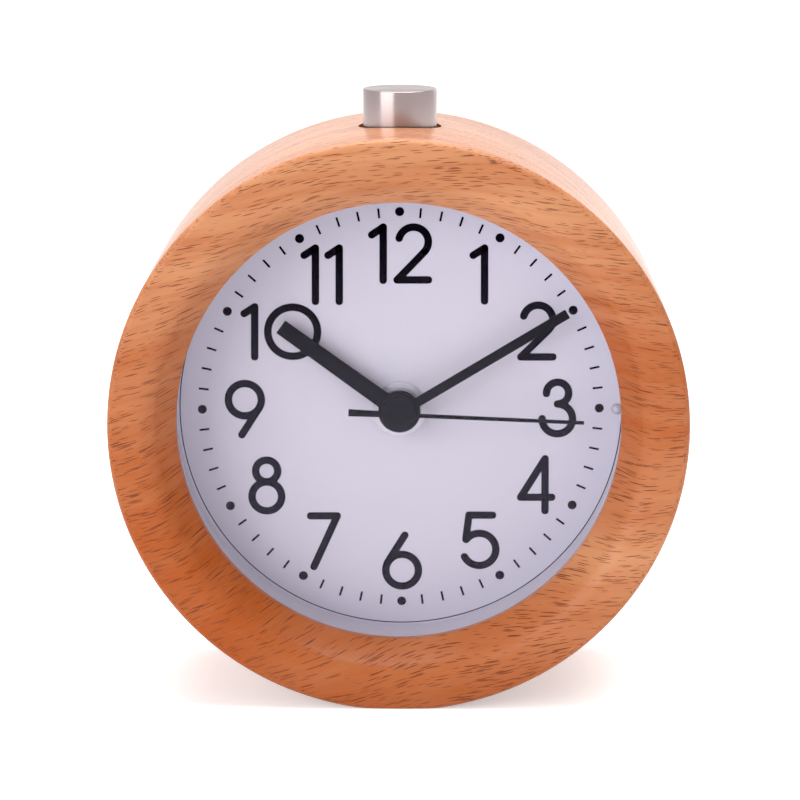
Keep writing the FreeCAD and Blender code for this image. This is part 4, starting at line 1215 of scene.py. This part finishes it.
@dataclass
class DialPrintAndPaintedShadow:
    """Numbers, dots and minute marks printed on the dial, and a painted shadow ring at its edge."""

    face: float = -3.3
    ink: float = 0.03
    stroke: float = 1.34
    round_sides: int = 20
    arc_degrees: float = 9.0
    least_steps: int = 8
    mark_circle: float = 35.1
    dot_radius: float = 0.8
    dot_sides: int = 28
    tick_circle: float = 34.98
    tick_length: float = 1.75
    tick_width: float = 0.37
    lean: float = 0.31
    # Painted shadow: a thin dark ring where the dial meets its ring wall.
    shadow_ring_radius: float = 39.13
    shadow_ring_width: float = 0.17
    shadow_ring_sides: int = 192
    mark_middle: Pair = (0.19, -0.05)
    parts: List[Piece] = field(default_factory=list)

    def spot(self, place: Pair) -> Vector:
        """Return the place in space of a spot on the dial, in metres."""
        return Vector((place[0], self.face - self.ink, AXIS_HEIGHT + place[1])) * MM

    def disc(self, place: Pair, radius: float, sides: int) -> None:
        """Print a round dot.

        Args:
            place: (x, z) from the hands' axis, in mm.
            radius: radius in mm.
            sides: vertices round the dot.
        """
        deselect()
        bpy.ops.mesh.primitive_circle_add(vertices=sides, radius=radius * MM, fill_type="NGON",
                                          location=self.spot(place), rotation=UPRIGHT)
        self.parts.append(named("ink"))

    def run(self, start: Pair, end: Pair, width: float, rounded: bool = True) -> None:
        """Print a straight stroke: half of a disc is drawn out to the far end.

        Args:
            start: (x, z) where the stroke starts, in mm.
            end: (x, z) where it ends, in mm.
            width: width of the stroke, in mm.
            rounded: round ends, or square ones.
        """
        deselect()
        heading = Vector((end[0] - start[0], 0.0, end[1] - start[1]))
        sides = self.round_sides if rounded else 4
        reach = width / 2 if rounded else width / math.sqrt(2)
        bpy.ops.mesh.primitive_circle_add(vertices=sides, radius=reach * MM, fill_type="NGON",
                                          rotation=UPRIGHT)
        ink = named("ink")
        choose(ink, edit=True)
        bpy.ops.transform.rotate(value=math.pi / sides, orient_axis="Y",
                                 center_override=(0.0, 0.0, 0.0))
        pick(ink, lambda place: place.x > 1e-7)
        bpy.ops.transform.translate(value=(heading.length * MM, 0.0, 0.0))
        bpy.ops.object.mode_set(mode="OBJECT")
        ink.rotation_euler = (0.0, -math.atan2(heading.z, heading.x), 0.0)
        ink.location = self.spot(start)
        self.parts.append(named("ink"))

    def sweep(self, stroke: Stroke) -> None:
        """Print a round stroke: a short edge is spun about the stroke's centre.

        Args:
            stroke: the stroke to print.
        """
        deselect()
        angle = stroke.end - stroke.start
        centre = self.spot(stroke.centre)
        bpy.ops.mesh.primitive_plane_add(size=self.stroke * MM, rotation=UPRIGHT)
        ink = named("ink")
        bpy.ops.object.mode_set(mode="EDIT")
        pick(ink, lambda place: place.z > 0.0)
        bpy.ops.mesh.delete(type="VERT")
        bpy.ops.mesh.select_all(action="SELECT")
        edge = bmesh.from_edit_mesh(ink.data)
        turn = math.radians(stroke.start)
        for corner, side in zip(edge.verts, (-1, 1)):
            far = (stroke.radius + side * self.stroke / 2) * MM
            corner.co = centre + Vector((math.cos(turn) * far, 0.0, math.sin(turn) * far))
        bmesh.update_edit_mesh(ink.data)
        steps = max(self.least_steps, int(abs(angle) / self.arc_degrees))
        bpy.ops.mesh.spin(steps=steps, angle=math.radians(angle), center=centre,
                          axis=(0.0, 1.0, 0.0))
        bpy.ops.mesh.select_all(action="SELECT")
        bpy.ops.mesh.remove_doubles(threshold=1e-6)
        self.parts.append(named("ink"))
        if abs(angle) < 360.0:
            for end in (stroke.start, stroke.end):
                self.disc(around(stroke.centre, end, stroke.radius), self.stroke / 2,
                          self.round_sides)

    def marks(self) -> None:
        """Print the twelve dots and the forty-eight minute marks."""
        half = (self.tick_length - self.tick_width) / 2
        for minute in range(60):
            at = 90.0 + self.lean - 6.0 * minute
            if minute % 5 == 0:
                self.disc(around(self.mark_middle, at, self.mark_circle), self.dot_radius,
                          self.dot_sides)
            else:
                self.run(around(self.mark_middle, at, self.tick_circle - half),
                         around(self.mark_middle, at, self.tick_circle + half),
                         self.tick_width, False)

    def rim(self) -> None:
        """Draw a painted shadow: the thin dark line where the dial meets its ring."""
        deselect()
        middle = self.spot(self.mark_middle)
        bpy.ops.mesh.primitive_circle_add(vertices=self.shadow_ring_sides, radius=self.shadow_ring_radius * MM,
                                          location=middle, rotation=UPRIGHT)
        # This painted shadow ring is named ink like the strokes and is merged with them.
        self.parts.append(named("ink"))
        choose(self.parts[-1], edit=True)
        bpy.ops.mesh.extrude_region_move(TRANSFORM_OT_translate={"value": (0.0, 0.0, 0.0)})
        inner = 1.0 - self.shadow_ring_width / self.shadow_ring_radius
        bpy.ops.transform.resize(value=(inner, 1.0, inner), center_override=middle)
        bpy.ops.object.mode_set(mode="OBJECT")

    def build(self, dresser: Dresser) -> None:
        """Print everything, add the painted shadow ring, give the ink its thickness and dress it.

        Args:
            dresser: gives the finish and the body.
        """
        for name, strokes in NUMERALS.items():
            for stroke in strokes:
                for start, end in zip(stroke.points, stroke.points[1:]):
                    self.run(start, end, self.stroke)
                if not stroke.points:
                    self.sweep(stroke)
            log.info("numeral %s printed", name)
        self.marks()
        self.rim()
        ink = merged("dial_print_and_painted_shadow", self.parts)
        choose(ink, edit=True)
        bpy.ops.mesh.normals_make_consistent(inside=False)
        bpy.ops.mesh.extrude_region_move(
            TRANSFORM_OT_translate={"value": (0.0, self.ink * MM, 0.0)})
        bpy.ops.mesh.select_all(action="SELECT")
        bpy.ops.mesh.normals_make_consistent(inside=False)
        bpy.ops.object.mode_set(mode="OBJECT")
        dresser.place(ink, Body.CASE, "print_and_painted_shadow_black", "hand_black")


@dataclass(frozen=True)
class Blade:
    """A flat bar of a hand, measured from the hands' axis."""

    start: float
    end: float
    start_width: float
    end_width: float


@dataclass
class Hand:
    """A flat hand on a turned hub."""

    name: str
    node: str
    body: Body
    angle: float
    blades: Tuple[Blade, ...]
    middle: float
    hub: Tuple[Corner, ...]
    finish: str = "hand_enamel"
    thickness: float = 0.35
    edge: float = 0.06

    def bar(self, blade: Blade) -> Piece:
        """Shape one bar from a block, taper it and turn it to its place.

        Args:
            blade: the bar's sizes.

        Returns:
            The bar.
        """
        half = max(blade.start_width, blade.end_width) / 2
        low, high = sorted((blade.start, blade.end))
        bar = block("bar", (-half, self.middle - self.thickness / 2, low),
                    (half, self.middle + self.thickness / 2, high))
        bpy.ops.object.mode_set(mode="EDIT")
        for place, width in ((blade.start, blade.start_width), (blade.end, blade.end_width)):
            pick(bar, lambda corner: abs(corner.z - place * MM) < 1e-6)
            bpy.ops.transform.resize(value=(width / 2 / half, 1.0, 1.0),
                                     center_override=(0.0, self.middle * MM, place * MM))
        bpy.ops.object.mode_set(mode="OBJECT")
        bevel(bar, self.edge)
        bar.rotation_euler = (0.0, math.radians(self.angle), 0.0)
        bar.location = (0.0, 0.0, AXIS_HEIGHT * MM)
        return named("bar")

    def build(self, dresser: Dresser) -> None:
        """Build the hand and dress it.

        Args:
            dresser: gives the finish and the body.
        """
        parts = [self.bar(blade) for blade in self.blades]
        parts.append(turned("hub", eased(self.hub, 5), (0.0, AXIS_HEIGHT), segments=72,
                            closed=self.hub[0][0] > 0.0))
        hand = merged(self.name, parts)
        bpy.ops.object.shade_smooth_by_angle(angle=math.radians(35.0))
        dresser.place(hand, self.body, self.finish, "hand_black", [self.node])


def hands() -> List[Hand]:
    """Return the clock's visible hands, the lowest first.

    Returns:
        The hour hand, the minute hand and the second hand.
    """
    return [
        Hand("hand_hour", "hour_hand", Body.HOURS, 306.0, (Blade(2.4, 25.7, 3.0, 2.7),), -6.1,
             ((2.16, -5.6, 0.0), (3.70, -5.6, 0.12), (3.70, -6.6, 0.2), (2.16, -6.6, 0.0))),
        Hand("hand_minute", "minute_hand", Body.MINUTES, 58.9, (Blade(1.6, 34.3, 1.7, 1.7),),
             -7.25,
             ((1.3, -6.8, 0.0), (3.34, -6.8, 0.12), (3.34, -7.7, 0.2), (1.3, -7.7, 0.0))),
        Hand("hand_second", "second_hand", Body.SECONDS, 92.4,
             (Blade(0.0, 32.4, 0.72, 0.62), Blade(0.0, -8.9, 0.95, 1.27)), -8.95,
             ((0.0, -8.1, 0.0), (2.9, -8.1, 0.12), (2.9, -9.8, 0.4), (0.0, -9.8, 0.0)),
             "cap_gloss"),
    ]


@dataclass
class Knob:
    """A ridged knob with a round arrow on its cap, and its mark on the cover."""

    name: str
    node: str
    body: Body
    place: Pair
    mark_at: float
    bell: bool = False
    low: float = 17.3
    high: float = 22.3
    radius: float = 6.2
    grip_depth: float = 0.85
    flange: float = 1.2
    bore: float = 0.97
    foot_edge: float = 0.2
    flange_edge: float = 0.3
    shoulder_drop: float = 0.5
    shoulder_edge: float = 0.35
    groove: float = 0.75
    crown_inset: float = 0.95
    crown_drop: float = 0.15
    crown_edge: float = 0.12
    crown_middle: float = 1.2
    ridges: int = 36
    ridge_half: float = 0.2
    ridge_root: float = 0.15
    ridge_reach: float = 0.38
    ridge_foot: float = 1.1
    ridge_drop: float = 0.7
    edge: float = 0.12
    arrow_radius: float = 2.5
    arrow_half: float = 0.28
    arrow_height: float = 0.2
    arrow_start: float = 0.05
    arrow_steps: int = 21
    # Turn in degrees and growth of a step round the axis, of the barbs and of the point.
    arrow_step: Pair = (12.0, 1.0)
    arrow_barbs: Pair = (0.0, 2.6)
    arrow_point: Pair = (26.0, 0.06)

    def cap(self, axis: Pair) -> Piece:
        """Turn the knob's body and close both of its ends.

        Args:
            axis: (x, z) of the knob's axis, in mm.

        Returns:
            The body.
        """
        grip, flange = self.radius - self.grip_depth, self.low + self.flange
        shoulder, crown = self.high - self.shoulder_drop, self.high - self.crown_drop
        rings = eased([
            (self.bore, self.low, 0.0),
            (self.radius, self.low, self.foot_edge),
            (self.radius, flange, self.flange_edge),
            (grip, flange, 0.0),
            (grip, shoulder, self.shoulder_edge),
            (grip - self.groove, shoulder, 0.0),
            (grip - self.crown_inset, crown, self.crown_edge),
            (self.crown_middle, crown, 0.0),
        ], 3)
        cap = turned(self.name, rings, axis, segments=72)
        choose(cap, edit=True)
        pick_open_edges()
        bpy.ops.mesh.edge_face_add()
        bpy.ops.object.mode_set(mode="OBJECT")
        return cap

    def ridge_ring(self, axis: Pair) -> List[Piece]:
        """Shape one ridge and copy it round the grip.

        Args:
            axis: (x, z) of the knob's axis, in mm.

        Returns:
            The ridges.
        """
        grip = self.radius - self.grip_depth
        first = block("ridge", (grip - self.ridge_root, self.low + self.ridge_foot,
                                -self.ridge_half),
                      (grip + self.ridge_reach, self.high - self.ridge_drop, self.ridge_half))
        bevel(first, self.edge)
        ring = [copied(first) for _ in range(self.ridges)]
        for number, ridge in enumerate(ring):
            ridge.rotation_euler = (0.0, 2 * math.pi * number / self.ridges, 0.0)
            ridge.location = (axis[0] * MM, 0.0, axis[1] * MM)
        bpy.data.objects.remove(first, do_unlink=True)
        return ring

    def curved_arrow(self, axis: Pair) -> Piece:
        """Raise a round arrow: a square is spun part of a turn and its end drawn to a point.

        Args:
            axis: (x, z) of the knob's axis, in mm.

        Returns:
            The arrow.
        """
        base, middle = self.high - self.arrow_height, axis[0] + self.arrow_radius
        centre = Vector((axis[0], base, axis[1])) * MM
        arrow = block("arrow", (middle - self.arrow_half, base, axis[1] - self.arrow_start),
                      (middle + self.arrow_half, base + self.arrow_height, axis[1]))
        bpy.ops.object.mode_set(mode="EDIT")
        pick(arrow, lambda place: place.z > (axis[1] - self.arrow_start / 2) * MM)
        steps = [self.arrow_step] * self.arrow_steps + [self.arrow_barbs, self.arrow_point]
        for turn, size in steps:
            bpy.ops.mesh.extrude_region_move(TRANSFORM_OT_translate={"value": (0.0, 0.0, 0.0)})
            if turn:
                bpy.ops.transform.rotate(value=math.radians(turn), orient_axis="Y",
                                         center_override=centre)
            if size != 1.0:
                bpy.ops.transform.resize(value=(size, 1.0, size),
                                         center_override=self.picked_middle(arrow))
        bpy.ops.object.mode_set(mode="OBJECT")
        return named("arrow")

    def picked_middle(self, piece: Piece) -> Vector:
        """Find the middle of the selected vertices.

        Args:
            piece: the object in edit mode.

        Returns:
            Their mean place.
        """
        mesh = bmesh.from_edit_mesh(piece.data)
        chosen = [corner.co for corner in mesh.verts if corner.select]
        return sum(chosen, Vector()) / len(chosen)

    def build(self, dresser: Dresser) -> None:
        """Build the knob and dress it.

        Args:
            dresser: gives the finish and the body.
        """
        axis = (self.place[0], AXIS_HEIGHT + self.place[1])
        parts = [self.cap(axis), *self.ridge_ring(axis), self.curved_arrow(axis)]
        knob = finish_shape(merged(self.name, parts))
        dresser.place(knob, self.body, "knob_plastic", "knob_black", [self.node])


@dataclass
class Back:
    """Screws, knobs and raised marks on the rear cover."""

    cover: float = 17.0
    screw_circle: float = 43.498
    head_radius: float = 1.88
    head_height: float = 0.98
    head_edge: float = 0.35
    shank_radius: float = 0.98
    shank_edge: float = 0.3
    screw_length: float = 6.98
    # First screw's place round the cover, first slot's turn and its growth from screw to screw.
    screw_at: float = 45.0
    slot_turn: float = 11.0
    slot_step: float = 23.0
    slot_reach: float = 1.15
    slot_half: float = 0.2
    slot_depth: float = 0.55
    overrun: float = 0.3
    slider_place: Pair = (-13.0, 21.6)
    word_place: Pair = (3.4, 4.6)
    word_size: float = 2.5
    word_bevel: float = 0.02
    sink: float = 0.1
    mark_height: float = 0.12
    mark_edge: float = 0.04
    mark_reach: float = 9.2
    mark_ring: Pair = (1.75, 2.05)
    # Each bar's (x, z) from the mark's middle, half width and half height.
    mark_hands: Tuple[Tuple[float, ...], ...] = ((0.0, 0.55, 0.14, 0.65), (-0.45, 0.0, 0.5, 0.14))
    mark_bells: Tuple[Tuple[float, ...], ...] = (
        (-1.75, 1.95, 0.75, 0.2), (1.75, 1.95, 0.75, 0.2))
    bar_height: float = 0.3
    bar_edge: float = 0.12
    door_top: float = -10.5
    grips: int = 3
    grip_drop: float = 1.2
    grip_pitch: float = 0.95
    grip_half: Pair = (2.6, 0.24)
    arrow_drop: float = 6.2
    arrow_radius: float = 1.5
    arrow_height: float = 0.2
    knobs: Tuple[Knob, ...] = (
        Knob("time_setting_knob", "time_knob", Body.TIME_SETTING, (15.424, -3.376), 205.0),
        Knob("alarm_setting_knob", "alarm_knob", Body.ALARM_SETTING, (4.8, 8.314), 110.0, True),
    )

    def screws(self, dresser: Dresser) -> None:
        """Turn one cross-head screw, copy it to the four places and dress the set.

        Args:
            dresser: gives the finish and the body.
        """
        end, neck = self.cover - self.screw_length, self.cover - self.head_height
        rings = eased([
            (0.0, end, 0.0),
            (self.shank_radius, end, self.shank_edge),
            (self.shank_radius, neck, 0.0),
            (self.head_radius, neck, 0.0),
            (self.head_radius, self.cover, self.head_edge),
            (0.0, self.cover, 0.0),
        ], 3)
        first = turned("screws", rings, (0.0, 0.0), segments=32)
        for x, z in ((self.slot_reach, self.slot_half), (self.slot_half, self.slot_reach)):
            carve(first, block("slot", (-x, self.cover - self.slot_depth, -z),
                               (x, self.cover + self.overrun, z)))
        screws = [first] + [copied(first) for _ in range(3)]
        for number, screw in enumerate(screws):
            x, z = around((0.0, AXIS_HEIGHT), self.screw_at + 90.0 * number, self.screw_circle)
            turn = math.radians(self.slot_step * number + self.slot_turn)
            screw.rotation_euler = (0.0, turn, 0.0)
            screw.location = (x * MM, 0.0, z * MM)
        dresser.place(finish_shape(merged("screws", screws)), Body.CASE, "nickel",
                      "nickel_steel", ["cover_screws"])

    def word(self, text: str, place: Pair) -> Piece:
        """Raise a word on the cover, read from behind.

        Args:
            text: the word.
            place: (x, z) of its middle from the hands' axis, in mm.

        Returns:
            The word as a mesh.
        """
        deselect()
        bpy.ops.object.text_add(rotation=(math.pi / 2, 0.0, math.pi))
        word = bpy.context.object
        word.data.body = text
        word.data.align_x = "CENTER"
        word.data.align_y = "CENTER"
        word.data.size = self.word_size * MM
        word.data.extrude = self.mark_height * MM
        word.data.bevel_depth = self.word_bevel * MM
        word.location = Vector((place[0], self.cover, AXIS_HEIGHT + place[1])) * MM
        bpy.ops.object.convert(target="MESH")
        return named("word")

    def bar(self, x: float, z: float, half_width: float, half_height: float) -> Piece:
        """Raise a small bevelled bar on the cover or its door.

        Args:
            x: its middle across, from the hands' axis, in mm.
            z: its middle up, from the hands' axis, in mm.
            half_width: half of its width, in mm.
            half_height: half of its height, in mm.

        Returns:
            The bar.
        """
        z += AXIS_HEIGHT
        bar = block("bar", (x - half_width, self.cover - self.sink, z - half_height),
                    (x + half_width, self.cover + self.bar_height, z + half_height))
        bevel(bar, self.bar_edge)
        return bar

    def setting_mark(self, knob: Knob) -> List[Piece]:
        """Raise the small clock beside a knob, with two bells for the alarm.

        Args:
            knob: the knob that it belongs to.

        Returns:
            The mark's pieces.
        """
        inner, outer = self.mark_ring
        low, high = self.cover - self.sink, self.cover + self.mark_height
        x, z = around(knob.place, knob.mark_at, self.mark_reach)
        ring = eased([(inner, low, 0.0), (outer, low, 0.0), (outer, high, self.mark_edge),
                      (inner, high, self.mark_edge)], 2)
        bars = self.mark_hands + (self.mark_bells if knob.bell else ())
        return [turned("mark", ring, (x, AXIS_HEIGHT + z), segments=40, closed=True),
                *[self.bar(x + right, z + up, *half) for right, up, *half in bars]]

    def cover_marks(self, dresser: Dresser) -> None:
        """Raise the switch's words and the setting marks.

        Args:
            dresser: gives the finish and the body.
        """
        (x, z), (right, up) = self.slider_place, self.word_place
        parts = [self.word("ON", (x + right, z + up)), self.word("OFF", (x - right, z + up))]
        for knob in self.knobs:
            parts += self.setting_mark(knob)
        dresser.place(finish_shape(merged("cover_marks", parts)), Body.CASE, "mark_white",
                      "cover_black")

    def door_marks(self, dresser: Dresser) -> None:
        """Raise the door's grips and arrow.

        Args:
            dresser: gives the finish and the body.
        """
        first = self.door_top - self.grip_drop
        parts = [self.bar(0.0, first - self.grip_pitch * row, *self.grip_half)
                 for row in range(self.grips)]
        low, high, reach = self.cover - self.sink, self.cover + self.arrow_height, self.arrow_radius
        parts.append(turned("grip", [(0.0, low), (reach, low), (reach, high), (0.0, high)],
                            (0.0, AXIS_HEIGHT + self.door_top - self.arrow_drop), segments=3,
                            smooth_degrees=10.0))
        dresser.place(finish_shape(merged("door_marks", parts)), Body.CELL_DOOR,
                      "cover_plastic", "cover_black")

    def build(self, dresser: Dresser) -> None:
        """Build everything on the back.

        Args:
            dresser: gives the finishes and the bodies.
        """
        self.screws(dresser)
        for knob in self.knobs:
            knob.build(dresser)
        self.cover_marks(dresser)
        self.door_marks(dresser)


# Stage


def aimed(name: str, data: bpy.types.ID, place: Vector, heading: Vector) -> Piece:
    """Set a lamp or a camera in the scene.

    Args:
        name: its name.
        data: the lamp or the camera.
        place: where it stands, in metres.
        heading: the direction that it faces.

    Returns:
        The object.
    """
    piece = bpy.data.objects.new(name, data)
    bpy.context.collection.objects.link(piece)
    piece.location = place
    piece.rotation_mode = "QUATERNION"
    piece.rotation_quaternion = heading.to_track_quat("-Z", "Y")
    return piece


@dataclass(frozen=True)
class Lamp:
    """An area lamp that faces the clock, in metres and watts."""

    name: str
    place: Corner
    size: Pair
    power: float
    aim: Corner = (0.0, 0.0, 0.05)

    def hang(self) -> None:
        """Hang the lamp."""
        light = bpy.data.lights.new(self.name, "AREA")
        light.shape = "RECTANGLE"
        light.size, light.size_y = self.size
        light.energy = self.power
        aimed(self.name, light, Vector(self.place), Vector(self.aim) - Vector(self.place))


@dataclass
class Stage:
    """Floor, lamps, surroundings and camera, in metres."""

    floor_size: float = 6.0
    floor_low: float = 0.0001
    floor_grey: float = 0.90
    floor_glow: float = 0.42
    ambient: float = 0.655
    azimuth: float = 0.69
    elevation: float = 11.49
    distance: float = 0.55
    lens: float = 145.05
    target: Corner = (0.0003075, -0.023, 0.05484)
    lamps: Tuple[Lamp, ...] = (
        Lamp("overhead", (0.05, 0.10, 0.85), (0.9, 0.7), 9.5),
        Lamp("front_left", (-0.64, -0.74, 0.34), (0.78, 0.62), 4.5),
        Lamp("behind_right", (0.46, 0.74, 0.26), (0.50, 0.34), 0.5),
    )

    def floor(self) -> None:
        """Lay the pale floor that keeps the clock's shadow."""
        deselect()
        bpy.ops.mesh.primitive_plane_add(size=self.floor_size,
                                         location=(0.0, 0.0, -self.floor_low))
        floor = named("floor")
        material, nodes = new_material("floor")
        glow = nodes.times(nodes.rays("Camera", "Glossy", "Transmission"), self.floor_glow)
        shader = nodes.add("BsdfPrincipled", None, Base_Color=(*(self.floor_grey,) * 3, 1.0),
                           Roughness=0.9, Specular_IOR_Level=0.1,
                           Emission_Color=(1.0, 1.0, 1.0, 1.0), Emission_Strength=glow)
        nodes.add("OutputMaterial", None, Surface=shader.outputs[0])
        floor.data.materials.append(material)

    def surroundings(self) -> None:
        """Light the object plainly and show white behind it."""
        world = bpy.data.worlds.new("studio")
        bpy.context.scene.world = world
        world.use_nodes = True
        nodes = Nodes(world.node_tree)
        strength = nodes.times_plus(nodes.rays("Camera", "Glossy", "Transmission"),
                                    1.0 - self.ambient, self.ambient)
        back = nodes.add("Background", None, Color=(1.0, 1.0, 1.0, 1.0), Strength=strength)
        nodes.add("OutputWorld", None, Surface=back.outputs[0])

    def camera(self) -> None:
        """Set up the camera at the photograph's angle."""
        turn, rise = math.radians(self.azimuth), math.radians(self.elevation)
        back = Vector((math.sin(turn) * math.cos(rise), -math.cos(turn) * math.cos(rise),
                       math.sin(rise)))
        view = bpy.data.cameras.new("camera")
        view.lens = self.lens
        view.sensor_width = 36.0
        view.clip_start = 0.01
        place = Vector(self.target) + back * self.distance
        bpy.context.scene.camera = aimed("camera", view, place, -back)

    def build(self) -> None:
        """Set the whole stage."""
        self.floor()
        self.surroundings()
        for lamp in self.lamps:
            lamp.hang()
        self.camera()
        bpy.context.scene.view_settings.view_transform = "Standard"


def main() -> None:
    """Build the clock's looks in order."""
    logging.basicConfig(level=logging.INFO, format="%(name)s: %(message)s")
    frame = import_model()
    dresser = Dresser(frame)
    for piece in (Case(), Button(), ButtonSpring(), DialPrintAndPaintedShadow(), *hands(), Back()):
        piece.build(dresser)
    Stage().build()
    deselect()


if __name__ == "__main__":
    main()
